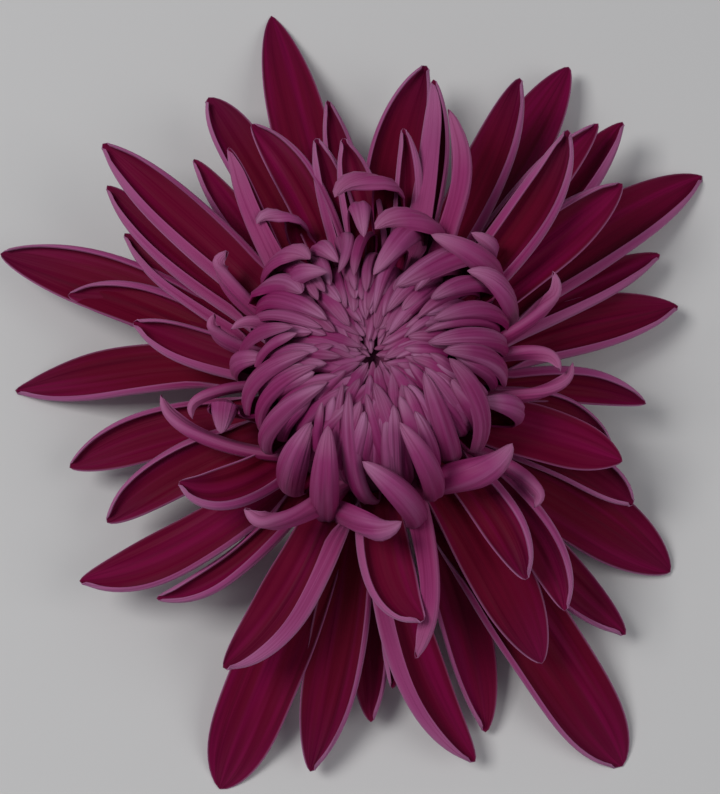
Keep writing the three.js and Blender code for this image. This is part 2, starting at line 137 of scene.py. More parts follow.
def bezier(start, leaving, arriving, end):
    t = np.linspace(0, 1, CURVE_STEPS)[:, None]
    u = 1 - t
    return u ** 3 * start + 3 * u * u * t * leaving + 3 * u * t * t * arriving + t ** 3 * end


def by_length(path, shares):
    run = np.concatenate([[0], np.cumsum(np.linalg.norm(np.diff(path, axis=0), axis=1))])
    return np.stack([np.interp(shares * run[-1], run, path[:, k]) for k in range(3)], axis=1)


def smooth(x):
    x = np.clip(x, 0, 1)
    return x * x * (3 - 2 * x)


straight = bezier(AXIS, AXIS + UP, AXIS + 2 * UP, AXIS + 3 * UP)
print("halfway along a straight curve", by_length(straight, np.array([0.5])).round(2))

# %% [markdown]
# ## The shape of one petal
# Seen flat, a petal starts as a narrow claw, is widest past the middle and ends in a blunt point.
# Seen on its cut end, it is a shallow trough, and on many petals one margin curls over and lies
# back on the face, so its pale reverse shows as a band. The section is walked from the middle to
# the margin, first over the flat part, then round the curl, then along the flap. An outline is
# three numbers: how wide the claw is, where the petal is widest, and how late it tapers.

# %% Outline and section
BROAD_OUTLINE = (0.3, 0.6, 2.3)
BLUNT_OUTLINE = (0.3, 0.55, 4.5)
NARROW_OUTLINE = (0.5, 0.65, 2.3)
HOOK_OUTLINE = (0.55, 0.62, 2.4)
TIP_BLUNTNESS = 0.7
THICKNESS = 0.32
CURL_RADIUS = 0.7
CURL_SHARE = 0.45
CURL_TURN = math.radians(165)
FOLD_BEGINS = 0.1
FOLD_GROWS = 0.3
FOLD_ENDS = 0.025
FOLD_NARROWS = 0.45
SHORTEST_FLAP = 0.05
TINY = 1e-6
NO_FOLDS = (0, 0)


def swell(s, outline):
    claw, belly, taper = outline
    before = claw + (1 - claw) * np.sin(np.minimum(s / belly, 1) * math.pi / 2)
    past = np.clip((s - belly) / (1 - belly), 0, 1)
    return np.where(s < belly, before, (1 - past ** taper) ** TIP_BLUNTNESS)


def half_section(half, cup, roundness, fold, ease, spans):
    """Across, lift, angle and arc length from the middle to the margin, a row for each station.

    The trough has risen to the angle cup at its margin, fold is the flap's width, and ease says how
    far the margin has folded over at each station.
    """
    flat_spans, curl_spans, flap_spans = spans
    curl = np.minimum(CURL_RADIUS, CURL_SHARE * half)
    end = cup + (CURL_TURN - cup) * ease
    flat = half - curl * ease
    bend = flat + curl * (end - cup)
    total = bend + np.maximum(fold - curl, SHORTEST_FLAP) * ease

    def walk(start, finish, count):
        steps = np.linspace(0, 1, count + 1)[:-1]
        return start[:, None] + (finish - start)[:, None] * steps

    parts = [walk(0 * half, flat, flat_spans), walk(flat, bend, curl_spans),
             walk(bend, total, flap_spans)]
    crowded = np.concatenate([*parts, total[:, None]], axis=1)
    even = np.linspace(0, 1, sum(spans) + 1) * total[:, None]
    arc = even + (crowded - even) * np.sqrt(ease)[:, None]

    def angle_at(run):
        rising = cup * np.clip(run / np.maximum(flat, TINY)[:, None], 0, 1) ** roundness
        share = np.clip((run - flat[:, None]) / np.maximum(bend - flat, TINY)[:, None], 0, 1)
        return rising + (end - cup)[:, None] * share

    step = np.diff(arc, axis=1)
    angle = angle_at((arc[:, 1:] + arc[:, :-1]) / 2)
    zero = np.zeros((len(half), 1))
    across = np.concatenate([zero, np.cumsum(np.cos(angle) * step, axis=1)], axis=1)
    lift = np.concatenate([zero, np.cumsum(np.sin(angle) * step, axis=1)], axis=1)
    return across, lift, angle_at(arc), arc


print("a broad petal's claw and tip, as shares of its width", swell(np.array([0, 1]), BROAD_OUTLINE))

# %% [markdown]
# ## Finishes
# The upper face is a deep velvety crimson with long soft streaks. The reverse is a dusty mauve
# with fine veins, paler at the tip and pinker at the root. Both thin out to a lilac line along the
# margin, while the reverse of petals that curl in tightly has a dark line of painted shade there,
# where its sides turn away from the light. A fold's crest is paler, with a painted highlight on it.
# A pattern on Object coordinates would run straight through a bent petal, so every petal carries its
# own measures in three attributes: where a point lies on it in millimetres, how near the margin and
# the tip it is with the petal's own tone, and how near the crest of a fold it is.

# %% Helpers for node trees
def add_node(tree, kind, values=None, **settings):
    node = tree.nodes.new(kind)
    for name, value in settings.items():
        setattr(node, name, value)
    for socket, value in (values or {}).items():
        node.inputs[socket].default_value = value
    return node


def link(tree, source, target):
    tree.links.new(source, target)


def new_group(name, inputs, outputs):
    group = bpy.data.node_groups.new(name, "ShaderNodeTree")
    for label, kind in inputs:
        group.interface.new_socket(label, in_out="INPUT", socket_type=kind)
    for label, kind in outputs:
        group.interface.new_socket(label, in_out="OUTPUT", socket_type=kind)
    return group, group.nodes.new("NodeGroupInput"), group.nodes.new("NodeGroupOutput")


def use_group(tree, group, values):
    node = tree.nodes.new("ShaderNodeGroup")
    node.node_tree = group
    for socket, value in values.items():
        node.inputs[socket].default_value = value
    return node


# %% A group for streaks that run along a petal
streaks, streaks_in, streaks_out = new_group(
    "lengthwise streaks",
    [("Where", "NodeSocketVector"), ("Per mm", "NodeSocketVector"),
     ("From", "NodeSocketFloat"), ("To", "NodeSocketFloat")],
    [("Streak", "NodeSocketFloat")])
stretched = add_node(streaks, "ShaderNodeVectorMath", operation="MULTIPLY")
streak_noise = add_node(streaks, "ShaderNodeTexNoise", {"Scale": 1.0, "Detail": 2.0, "Roughness": 0.55})
streak_range = add_node(streaks, "ShaderNodeMapRange", interpolation_type="SMOOTHSTEP")
link(streaks, streaks_in.outputs["Where"], stretched.inputs[0])
link(streaks, streaks_in.outputs["Per mm"], stretched.inputs[1])
link(streaks, stretched.outputs[0], streak_noise.inputs["Vector"])
link(streaks, streak_noise.outputs["Fac"], streak_range.inputs["Value"])
link(streaks, streaks_in.outputs["From"], streak_range.inputs["From Min"])
link(streaks, streaks_in.outputs["To"], streak_range.inputs["From Max"])
link(streaks, streak_range.outputs["Result"], streaks_out.inputs["Streak"])

# %% A group for the line along a margin, the margin's own pale colour on some finishes and painted shade on others
margin_line_and_shade, margin_in, margin_out = new_group(
    "margin line",
    [("Margin mm", "NodeSocketFloat"), ("Width mm", "NodeSocketFloat")],
    [("Line", "NodeSocketFloat")])
line_range = add_node(margin_line_and_shade, "ShaderNodeMapRange", {"To Min": 1.0, "To Max": 0.0},
                      interpolation_type="SMOOTHSTEP")
link(margin_line_and_shade, margin_in.outputs["Margin mm"], line_range.inputs["Value"])
link(margin_line_and_shade, margin_in.outputs["Width mm"], line_range.inputs["From Max"])
link(margin_line_and_shade, line_range.outputs["Result"], margin_out.inputs["Line"])
print("groups", streaks.name, "and", margin_line_and_shade.name)

# %% Parts of a finish that follows a petal or a bract
# A Mix node has sockets for numbers, vectors and colours, so the colours' own are told by number.
MIX_AMOUNT, MIX_BELOW, MIX_ABOVE, MIXED = 0, 6, 7, 2
HALFWAY = 0.5
LINE_AT_FAINTEST = 0.25
RIDGES_FROM, RIDGES_TO = 0.3, 0.7


def blend_colour(tree, below, factor, colour, strength):
    """A colour laid over the one below by a mask, and only as strongly as given."""
    amount = add_node(tree, "ShaderNodeMath", {1: strength}, operation="MULTIPLY")
    mix = add_node(tree, "ShaderNodeMix", {MIX_ABOVE: (*colour, 1)}, data_type="RGBA")
    link(tree, factor, amount.inputs[0])
    link(tree, amount.outputs[0], mix.inputs[MIX_AMOUNT])
    link(tree, below, mix.inputs[MIX_BELOW])
    return mix.outputs[MIXED]


def colours_along(tree, share, lengthwise):
    """A ramp from the root's colour to the tip's. A new stop starts halfway and is then moved."""
    ramp = add_node(tree, "ShaderNodeValToRGB")
    stops = ramp.color_ramp.elements
    while len(stops) < len(lengthwise):
        stops.new(HALFWAY)
    for stop, (position, colour) in zip(stops, lengthwise):
        stop.position = position
        stop.color = (*colour, 1)
    link(tree, share, ramp.inputs["Fac"])
    return ramp.outputs["Color"]


def uneven_line(tree, margin, tone, width):
    """The mask of the margin's line, which is fainter on some petals than on others. Where the
    line is dark it is painted shade.
    """
    rim = use_group(tree, margin_line_and_shade, {"Width mm": width})
    link(tree, margin, rim.inputs["Margin mm"])
    fainter = add_node(tree, "ShaderNodeMapRange", {"To Min": 1.0, "To Max": LINE_AT_FAINTEST})
    link(tree, tone, fainter.inputs["Value"])
    uneven = add_node(tree, "ShaderNodeMath", operation="MULTIPLY")
    link(tree, rim.outputs["Line"], uneven.inputs[0])
    link(tree, fainter.outputs["Result"], uneven.inputs[1])
    return uneven.outputs[0]


def add_relief(tree, shader, where, rough, per_mm, depth):
    """Fine ridges along the blade, which vary its roughness too."""
    ridges = use_group(tree, streaks, {"Per mm": per_mm, "From": RIDGES_FROM, "To": RIDGES_TO})
    link(tree, where, ridges.inputs["Where"])
    bump = add_node(tree, "ShaderNodeBump", {"Strength": 1.0, "Distance": depth * MM})
    link(tree, ridges.outputs["Streak"], bump.inputs["Height"])
    link(tree, bump.outputs["Normal"], shader.inputs["Normal"])
    rough_range = add_node(tree, "ShaderNodeMapRange", {"To Min": rough[0], "To Max": rough[1]})
    link(tree, ridges.outputs["Streak"], rough_range.inputs["Value"])
    link(tree, rough_range.outputs["Result"], shader.inputs["Roughness"])


# %% The whole finish
# A fold's crest is paler, and a highlight is painted on it with this colour.
CREST_PALENESS_AND_HIGHLIGHT = (0.5, 0.24, 0.42)
CREST_HIGHLIGHT_STRENGTH = 0.5
SHEEN_ROUGHNESS = 0.5
VELVET_GLOSS = 0.07
WAXY_GLOSS = 0.11


def blade_finish(name, lengthwise, turn_to, layers, line, rough, sheen, relief,
                 crest_highlight_strength=CREST_HIGHLIGHT_STRENGTH, gloss=VELVET_GLOSS):
    """Colours along the blade that differ a little from petal to petal, streaks over them, a line on
    the margin and fine lengthwise relief.

    A layer is the pattern's repeats a millimetre across, along and from petal to petal, the noise
    at which a streak starts and is full, and its tint and strength. A line is a width, a colour and
    a strength; a pale line is the margin's own colour and a dark one painted shade. Relief is repeats
    and a depth. On a fold's crest a paler colour with a painted highlight is laid on.
    """
    material = bpy.data.materials.new(name)
    material.use_nodes = True
    tree = material.node_tree
    shader = tree.nodes["Principled BSDF"]
    where = add_node(tree, "ShaderNodeAttribute", attribute_name="where").outputs["Vector"]
    edge = add_node(tree, "ShaderNodeAttribute", attribute_name="edge")
    measures = add_node(tree, "ShaderNodeSeparateXYZ")
    link(tree, edge.outputs["Vector"], measures.inputs[0])
    margin, share, tone = measures.outputs
    colour = blend_colour(tree, colours_along(tree, share, lengthwise), tone, *turn_to)
    for per_mm, low, high, tint, strength in layers:
        layer = use_group(tree, streaks, {"Per mm": per_mm, "From": low, "To": high})
        link(tree, where, layer.inputs["Where"])
        colour = blend_colour(tree, colour, layer.outputs["Streak"], tint, strength)
    # Near a fold's crest the paler colour with its painted highlight is laid on.
    crest_highlight_mask = add_node(tree, "ShaderNodeAttribute", attribute_name="crest_highlight_mask")
    colour = blend_colour(tree, colour, crest_highlight_mask.outputs["Fac"], CREST_PALENESS_AND_HIGHLIGHT, crest_highlight_strength)
    line_width, *line_colour = line
    colour = blend_colour(tree, colour, uneven_line(tree, margin, tone, line_width), *line_colour)
    link(tree, colour, shader.inputs["Base Color"])
    add_relief(tree, shader, where, rough, *relief)
    shader.inputs["Sheen Weight"].default_value = sheen[0]
    shader.inputs["Sheen Roughness"].default_value = SHEEN_ROUGHNESS
    shader.inputs["Sheen Tint"].default_value = (*sheen[1], 1)
    shader.inputs["Specular IOR Level"].default_value = gloss
    return material


# %% Crimson face and mauve reverse
LILAC = (0.4, 0.17, 0.32)
DUSTY_SHEEN = (0.05, (1, 0.6, 0.85))
petal_face = blade_finish(
    "petal_face",
    lengthwise=[(0.0, (0.15, 0.002, 0.042)), (0.3, (0.128, 0.001, 0.013)),
                (0.75, (0.118, 0.001, 0.017)), (1.0, (0.11, 0.002, 0.03))],
    turn_to=((0.15, 0.001, 0.028), 0.8),
    layers=[((0.35, 0.016, 3.1), 0.45, 0.7, (0.22, 0.002, 0.06), 0.6),
            ((0.7, 0.02, 5.7), 0.5, 0.8, (0.06, 0.0005, 0.012), 0.5)],
    line=(0.32, LILAC, 0.45), rough=(0.55, 0.7), sheen=(0.0, (1, 0.3, 0.55)),
    relief=((0.9, 0.015, 9.1), 0.08))
petal_back = blade_finish(
    "petal_back",
    lengthwise=[(0.0, (0.2, 0.003, 0.055)), (0.4, (0.25, 0.012, 0.095)),
                (0.75, (0.33, 0.05, 0.185)), (1.0, (0.43, 0.15, 0.3))],
    turn_to=((0.36, 0.075, 0.21), 0.5),
    layers=[((0.3, 0.02, 4.3), 0.45, 0.75, (0.4, 0.11, 0.26), 0.5),
            ((2.0, 0.03, 6.1), 0.5, 0.75, (0.2, 0.008, 0.075), 0.5)],
    line=(0.4, LILAC, 0.4), rough=(0.5, 0.65), sheen=DUSTY_SHEEN,
    relief=((2.0, 0.03, 6.1), 0.08))
rolled_back = blade_finish(
    "rolled_back",
    lengthwise=[(0.0, (0.18, 0.002, 0.045)), (0.4, (0.225, 0.008, 0.075)),
                (0.75, (0.29, 0.03, 0.14)), (1.0, (0.42, 0.13, 0.27))],
    turn_to=((0.32, 0.045, 0.16), 0.5),
    layers=[((0.3, 0.02, 4.3), 0.45, 0.75, (0.37, 0.08, 0.21), 0.5),
            ((2.0, 0.03, 6.1), 0.5, 0.75, (0.17, 0.005, 0.06), 0.5)],
    line=(0.4, LILAC, 0.3), rough=(0.5, 0.65), sheen=DUSTY_SHEEN,
    relief=((2.0, 0.03, 6.1), 0.08), crest_highlight_strength=0.2)
hook_back = blade_finish(
    "hook_back",
    lengthwise=[(0.0, (0.12, 0.001, 0.035)), (0.3, (0.18, 0.003, 0.06)), (0.6, (0.24, 0.014, 0.1)),
                (0.85, (0.3, 0.045, 0.17)), (1.0, (0.46, 0.19, 0.34))],
    turn_to=((0.24, 0.008, 0.085), 0.4),
    layers=[((0.5, 0.03, 4.3), 0.4, 0.75, (0.38, 0.11, 0.26), 0.5),
            ((1.6, 0.04, 6.1), 0.45, 0.75, (0.17, 0.004, 0.06), 0.45)],
    # The dark line along the margin is painted shade, where the curled sides turn away from the light.
    line=(0.8, (0.17, 0.005, 0.07), 0.35), rough=(0.4, 0.58), sheen=DUSTY_SHEEN,
    relief=((1.6, 0.04, 6.1), 0.08), gloss=WAXY_GLOSS)
finger_back = blade_finish(
    "finger_back",
    lengthwise=[(0.0, (0.14, 0.001, 0.04)), (0.3, (0.21, 0.003, 0.072)),
                (0.55, (0.24, 0.011, 0.105)), (0.8, (0.28, 0.04, 0.155)), (1.0, (0.43, 0.19, 0.33))],
    turn_to=((0.22, 0.006, 0.085), 0.4),
    layers=[((0.5, 0.03, 4.3), 0.4, 0.75, (0.44, 0.16, 0.33), 0.5),
            ((1.8, 0.04, 6.1), 0.4, 0.7, (0.15, 0.003, 0.055), 0.5)],
    # The dark line along the margin is painted shade, where the curled sides turn away from the light.
    line=(0.7, (0.13, 0.002, 0.05), 0.55), rough=(0.4, 0.58), sheen=DUSTY_SHEEN,
    relief=((1.8, 0.04, 6.1), 0.08), gloss=WAXY_GLOSS)
finishes = (petal_face, petal_back, rolled_back, hook_back, finger_back)
print("petal finishes", *(finish.name for finish in finishes))

# %% [markdown]
# ## Flat blanks
# A grid is drawn out to a strip from -1 to 1 across and from 0 at the root to 1 at the tip. Its far
# end is gathered to a point, and the strip is extruded down by 1 for its thickness. Its corners are
# counted off in columns and rows, so that a curve and a section can later say where each one goes.
# The upper side gets the face's finish and the rest the back's. Each kind of petal has its blank.

# %% Selecting by place
def only(obj):
    bpy.ops.object.select_all(action="DESELECT")
    obj.select_set(True)
    bpy.context.view_layer.objects.active = obj


def select_where(obj, mode, test):
    """Selects the vertices or faces of obj that pass the test, and nothing else, in edit mode."""
    bpy.ops.object.mode_set(mode="EDIT")
    bpy.ops.mesh.select_mode(type=mode)
    bpy.ops.mesh.select_all(action="DESELECT")
    bpy.ops.object.mode_set(mode="OBJECT")
    items = obj.data.vertices if mode == "VERT" else obj.data.polygons
    for item in items:
        item.select = bool(test(item))
    bpy.ops.object.mode_set(mode="EDIT")


# %% Modelling a blank
FAR_END = 0.999
FACES_UP = 0.5


def make_blank(name, spans, rows, face, back):
    bpy.ops.object.select_all(action="DESELECT")
    bpy.ops.mesh.primitive_grid_add(x_subdivisions=2 * sum(spans), y_subdivisions=rows, size=2,
                                    location=(0, 0, 0))
    blank = bpy.context.object
    blank.name = name
    blank.data.materials.append(face)
    blank.data.materials.append(back)
    bpy.ops.object.mode_set(mode="EDIT")
    bpy.ops.transform.translate(value=(0, 1, 0))
    bpy.ops.transform.resize(value=(1, 0.5, 1), center_override=(0, 0, 0))
    select_where(blank, "VERT", lambda vertex: vertex.co.y > FAR_END)
    bpy.ops.mesh.merge(type="CENTER")
    bpy.ops.mesh.select_all(action="SELECT")
    bpy.ops.mesh.extrude_region_move(TRANSFORM_OT_translate={"value": (0, 0, -1)})
    bpy.ops.mesh.select_all(action="SELECT")
    bpy.ops.mesh.normals_make_consistent(inside=False)
    select_where(blank, "FACE", lambda side: side.normal.z < FACES_UP)
    blank.active_material_index = 1
    bpy.ops.object.material_slot_assign()
    bpy.ops.object.mode_set(mode="OBJECT")
    print(name, "has", len(blank.data.polygons), "faces")
    return blank


# %% The petals' blanks, with spans over the flat part, the curl and the flap of each half
STRAP_SPANS = (7, 4, 2)
HOOK_SPANS = (6, 2, 1)
STRAP_ROWS = 30
HOOK_ROWS = 20
strap_blank = make_blank("strap_blank", STRAP_SPANS, STRAP_ROWS, petal_face, petal_back)
rolled_blank = make_blank("rolled_blank", STRAP_SPANS, STRAP_ROWS, petal_face, rolled_back)
hook_blank = make_blank("hook_blank", HOOK_SPANS, HOOK_ROWS, petal_face, hook_back)
dome_blank = make_blank("dome_blank", HOOK_SPANS, HOOK_ROWS, petal_face, finger_back)

# %% [markdown]
# ## Bending a blank
# Moving hundreds of vertices one at a time by hand would not give petals that agree with their
# curves, so the blank's copy is bent by rule: its rows go along the curve, its columns across the
# section. Long shallow grooves run along the face and the margins wave a little, as on real ones.

# %% Where the corners of a blank and the stations of a path are
ROWS_CROWD = 1.35
LOOK_ROUND = 0.01
SWING_ENDS = 0.6


def corner_grid(blank, spans):
    """How many rows a blank has, and each corner's row, column and whether it is underneath."""
    corners = np.empty(len(blank.data.vertices) * 3)
    blank.data.vertices.foreach_get("co", corners)
    corners = corners.reshape(-1, 3)
    rows = int(round(1 / np.diff(np.unique(corners[:, 1].round(5))).min()))
    row = (corners[:, 1] * rows).round().astype(int)
    column = (corners[:, 0] * sum(spans)).round().astype(int) + sum(spans)
    return rows, row, column, -corners[:, 2]


def stations(path, shares, left_root, left_tip):
    """Points along a path and, at each, the petal's left and the way that its face looks."""
    ahead = by_length(path, np.minimum(shares + LOOK_ROUND, 1))
    behind = by_length(path, np.maximum(shares - LOOK_ROUND, 0))
    along = unit(ahead - behind)
    swing = smooth(shares / SWING_ENDS)[:, None]
    left = left_root * (1 - swing) + left_tip * swing
    left = unit(left - along * np.sum(left * along, axis=1, keepdims=True))
    return by_length(path, shares), left, np.cross(along, left)


# %% The surface of a petal, with its folds, grooves, waves and veins
FOLD_HEAD_START = 0.1
GROOVE_DEPTH = 0.16
GROOVE_PITCH = 2.3
GROOVES_PAST_CUP = 0.2
NARROWEST_GROOVED = 4
WAVE_HEIGHT = 0.35
WAVE_COMES = 3
FEWEST_WAVES, MOST_WAVES = 1.5, 3
DENT_SPREAD = 0.45
VEIN_PITCH = 1.3
ANY_PHASE = 6.28
WAVE_SEED = 11
rng = np.random.default_rng(WAVE_SEED)


def surface(shares, half, width, cup, folds, spans, wavy, roundness, dent, veins):
    """Both halves of the section at every station: across, lift, angle, arc and margin distance."""
    comes = smooth((shares - FOLD_BEGINS) / FOLD_GROWS) * smooth((1 - shares) / FOLD_ENDS)
    groove_phase, wave_phase = rng.uniform(0, ANY_PHASE), rng.uniform(0, ANY_PHASE)
    waves = rng.uniform(FEWEST_WAVES, MOST_WAVES)
    sides = []
    for sign, fold in ((-1, folds[1]), (1, folds[0])):
        ease = comes if fold > 0 else 0 * comes
        broad = smooth(half * 2 / width + FOLD_HEAD_START)
        fold_here = fold * broad * (1 - FOLD_NARROWS * shares ** 2)
        across, lift, angle, arc = half_section(half, cup, roundness, fold_here, ease, spans)
        nearness = np.clip(across / half[:, None], 0, 1)
        groove = np.cos(across * sign * 2 * math.pi / GROOVE_PITCH + groove_phase)
        on_trough = (half / (width / 2))[:, None] * (angle < cup + GROOVES_PAST_CUP)
        fade = (1 - nearness ** 2) * on_trough
        wave = np.sin(shares * waves * 2 * math.pi + wave_phase + sign)[:, None]
        wave_here = wave * nearness ** 2 * smooth(shares * WAVE_COMES)[:, None]
        vein = np.cos(arc / half[:, None] * width / 2 * 2 * math.pi / VEIN_PITCH + groove_phase)
        lift = lift + GROOVE_DEPTH * wavy * groove * fade * (width > NARROWEST_GROOVED)
        lift = lift + WAVE_HEIGHT * wavy * wave_here
        lift = lift + dent * np.exp(-(across / DENT_SPREAD) ** 2) * smooth(half)[:, None]
        lift = lift + veins * vein * smooth(half)[:, None]
        order = slice(None, 0, -1) if sign < 0 else slice(None)
        sides.append([sign * across[:, order], lift[:, order], sign * angle[:, order],
                      sign * arc[:, order], (arc[:, -1:] - arc)[:, order]])
    return (np.concatenate(pair, axis=1) for pair in zip(*sides))


# %% Bend one copy of a blank
STRAP_ROUNDNESS = 1.5
NARROWEST_TIP = 0.02
FULL_SKIN_HALF = 0.8
# Around this angle of the section lies a fold's crest, which gets a paler colour and a painted
# highlight.
CREST_ANGLE = math.radians(95)
CREST_SPREAD = math.radians(30)


def write_attribute(copy, label, kind, field, values):
    layer = copy.data.attributes.new(label, kind, "POINT")
    layer.data.foreach_set(field, values.ravel())


def bend(blank, spans, path, left_root, left_tip, width, outline, cup, number, folds=NO_FOLDS,
         wavy=1.0, roundness=STRAP_ROUNDNESS, dent=0.0, veins=0.0):
    """A copy of the blank along the path, with the measures that its finish reads. The petal's left
    turns from one direction at the root to another at the tip, and its number shifts its streaks."""
    rows, row, column, under = corner_grid(blank, spans)
    shares = 1 - (1 - np.linspace(0, 1, rows + 1)) ** ROWS_CROWD
    points, left, upper = stations(path, shares, left_root, left_tip)
    half = np.maximum(width / 2 * swell(shares, outline), NARROWEST_TIP)
    across, lift, angle, arc, margin = surface(shares, half, width, cup, folds, spans, wavy,
                                               roundness, dent, veins)
    tone = rng.uniform(0, 1)

    spot = (row, column)
    thick = (THICKNESS * np.minimum(half / FULL_SKIN_HALF, 1))[row] * (0.5 - under)
    across = across[spot] - np.sin(angle[spot]) * thick
    lift = lift[spot] + np.cos(angle[spot]) * thick
    place_at = points[row] + left[row] * across[:, None] + upper[row] * lift[:, None]
    place_at[:, 2] = np.maximum(place_at[:, 2], (1 - under) * THICKNESS)

    copy = blank.copy()
    copy.data = blank.data.copy()
    bpy.context.collection.objects.link(copy)
    copy.data.vertices.foreach_set("co", ((place_at + AXIS) * MM).ravel())
    length = np.linalg.norm(np.diff(path, axis=0), axis=1).sum()
    laid_flat = arc[spot] / half[row] * width / 2
    where = np.stack([laid_flat, shares[row] * length, np.full(len(row), float(number))], axis=1)
    edge = np.stack([margin[spot], shares[row], np.full(len(row), tone)], axis=1)
    # How near the crest of a fold a point is, for the crest's paler colour and painted highlight.
    crest_highlight_weight = np.exp(-((np.abs(angle[spot]) - CREST_ANGLE) / CREST_SPREAD) ** 2)
    write_attribute(copy, "where", "FLOAT_VECTOR", "vector", where)
    write_attribute(copy, "edge", "FLOAT_VECTOR", "vector", edge)
    write_attribute(copy, "crest_highlight_mask", "FLOAT", "value", crest_highlight_weight if any(folds) else 0 * crest_highlight_weight)
    return copy


# %% Join the petals of one kind to a piece, with numbers from the piece's own first one
FIRST_NUMBER = {"low_petals": 0, "middle_petals": 30, "high_petals": 50, "hooked_petals": 70,
                "centre_petals": 100, "bracts": 200, "dome_petals": 300}
SMOOTH_BELOW = math.radians(60)


def gather(name, petals, slot, *nodes):
    """One piece from many bent blanks, which stands for the CAD nodes."""
    bpy.ops.object.select_all(action="DESELECT")
    for petal in petals:
        petal.select_set(True)
    bpy.context.view_layer.objects.active = petals[0]
    bpy.ops.object.join()
    piece = bpy.context.object
    piece.name = name
    piece.data.name = name
    bpy.ops.object.shade_smooth_by_angle(angle=SMOOTH_BELOW)
    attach(piece, "root")
    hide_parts(*nodes)
    print(name, "is", len(petals), "blades with", len(piece.data.polygons), "faces")


# %% [markdown]
# ## The spreading petals
# Three tiers leave the head one above another, and every petal has a row of its own: where it is
# rooted, where its tip ends, how the tip turns and climbs, its width, and how much of each margin
# folds over. Rows listed from the flower look more alive than a rule for all of them would.

# %% Tables of the three tiers
# A tier: how far out and how high its roots stand, how much higher every second one does, and the
# angle at which petals leave. A petal: azimuths of root and tip, the tip's reach and height, its
# turn and climb, the width, and the folds of the left and the right margin.
LOW_TIER = (9, 14.8, 1.8, 18)
MIDDLE_TIER = (8, 18.6, 1.8, 42)
HIGH_TIER = (7, 21, 0, 52)
LOW_PETALS = [
    (4, 355, 41, 11, -22, -2, 10, 1, 0),
    (12, 4.5, 47.5, 10, -30, 2, 6.5, 1.9, 0),
    (27, 23, 59.5, 4, -8, -8, 10.5, 0, 1.4),
    (33, 32, 61, 5.5, -4, -6, 8, 0, 1.9),
    (40, 39, 78.5, -0.4, -6, -12, 12, 0, 1.9),
    (54, 53, 67.2, 14, -6, 4, 7.5, 0.9, 0),
    (50, 51, 72.3, 9, 4, 2, 9.5, 0, 2.4),
    (62, 62, 78.5, 4, 0, -8, 11, 0, 0),
    (85, 81, 67, 11, -14, 2, 10.5, 0.6, 0.6),
    (92, 97, 59, 13, 5, 5, 6.5, 1.2, 0.6),
    (103, 102.5, 83.5, -0.4, 0, -14, 10.5, 0, 0),
    (112, 115.5, 66, 12, 6, 2, 9, 1, 0),
    (120, 123, 56, 14, 0, 6, 6, 1.2, 0),
    (156, 156.5, 56.5, 12, 24, 2, 8.5, 0, 1.8),
    (150, 154, 72, 8, 10, -6, 11, 0, 1.4),
    (158, 172, 63, -0.4, 12, -12, 9.5, 1.2, 0),
    (180, 187.5, 51.5, 7, 18, -4, 9, 0, 1.2),
    (192, 201, 47, 10, 22, 0, 8.5, 0, 1.2),
    (219, 209, 55, 10, -25, 6, 9.5, 0.9, 0),
    (233, 220.5, 46, 12, -35, 12, 5.5, 1.4, 1.1),
    (250, 247.5, 65, -0.4, 0, -12, 12, 0, 0),
    (264, 260.4, 58.2, 3.5, -6, -8, 10, 1, 0),
    (269, 270.4, 49.4, 4.5, 0, -2, 7, 1, 0),
    (276, 287.5, 58.5, 4, 28, -4, 9.5, 0, 3),
    (282, 275, 44.5, 9, -10, 2, 5.5, 0, 1.2),
    (298, 291, 54.5, 2, -14, -6, 8.5, 0, 0.8),
    (308, 307, 70.5, -0.4, -2, -10, 13.5, 0, 1.1),
    (323, 321, 55.5, 5, 0, 0, 9, 0, 0.9),
    (340, 335.5, 57, 0.6, -10, -10, 13, 0, 0),
    (350, 342.7, 46.5, 10, -25, -6, 7.5, 0.9, 0.9),
]
MIDDLE_PETALS = [
    (45, 42.5, 58.5, 21, -2, 8, 10, 2, 0),
    (48, 54.5, 57.5, 27, 22, 16, 9, 1.9, 1.7),
    (64, 66.5, 66.5, 17, 8, 8, 9, 0, 1.7),
    (72, 79, 57.5, 26, 18, 12, 5.8, 4.6, 0.4),
    (78, 83, 47, 28, 20, 14, 5.5, 0.8, 1.9),
    (86, 95.5, 45.5, 27, 14, 25, 7.5, 1.4, 1.2),
    (95, 101, 47, 25, 8, 14, 6.5, 1.9, 0.7),
    (103, 112, 53.5, 23, 26, 10, 7.5, 0, 1.4),
    (141, 138, 60.4, 18, -8, 6, 8, 1.9, 0),
    (134, 134, 65.7, 20, 0, 4, 9.5, 2.1, 1.3),
    (148, 142, 53.3, 15, -6, 8, 7.5, 1.9, 0),
    (162, 160.5, 41, 25, -6, 26, 7.5, 1.5, 0.8),
    (212, 204, 33, 27, -60, 20, 7.5, 2, 0),
    (252, 241, 48, 19, -30, 8, 10, 3.2, 0),
    (276, 283.5, 36.5, 27, 50, 34, 9, 0, 1.6),
    (313, 304.5, 49.5, 14, -12, -4, 10.5, 0, 0),
    (332, 313.5, 45.5, 19, -40, 4, 7.5, 1.7, 0),
    (326, 310.5, 38, 25, -30, 10, 7.5, 1.6, 0),
    (353, 349, 42.5, 18, -8, -4, 9.5, 0, 0),
]
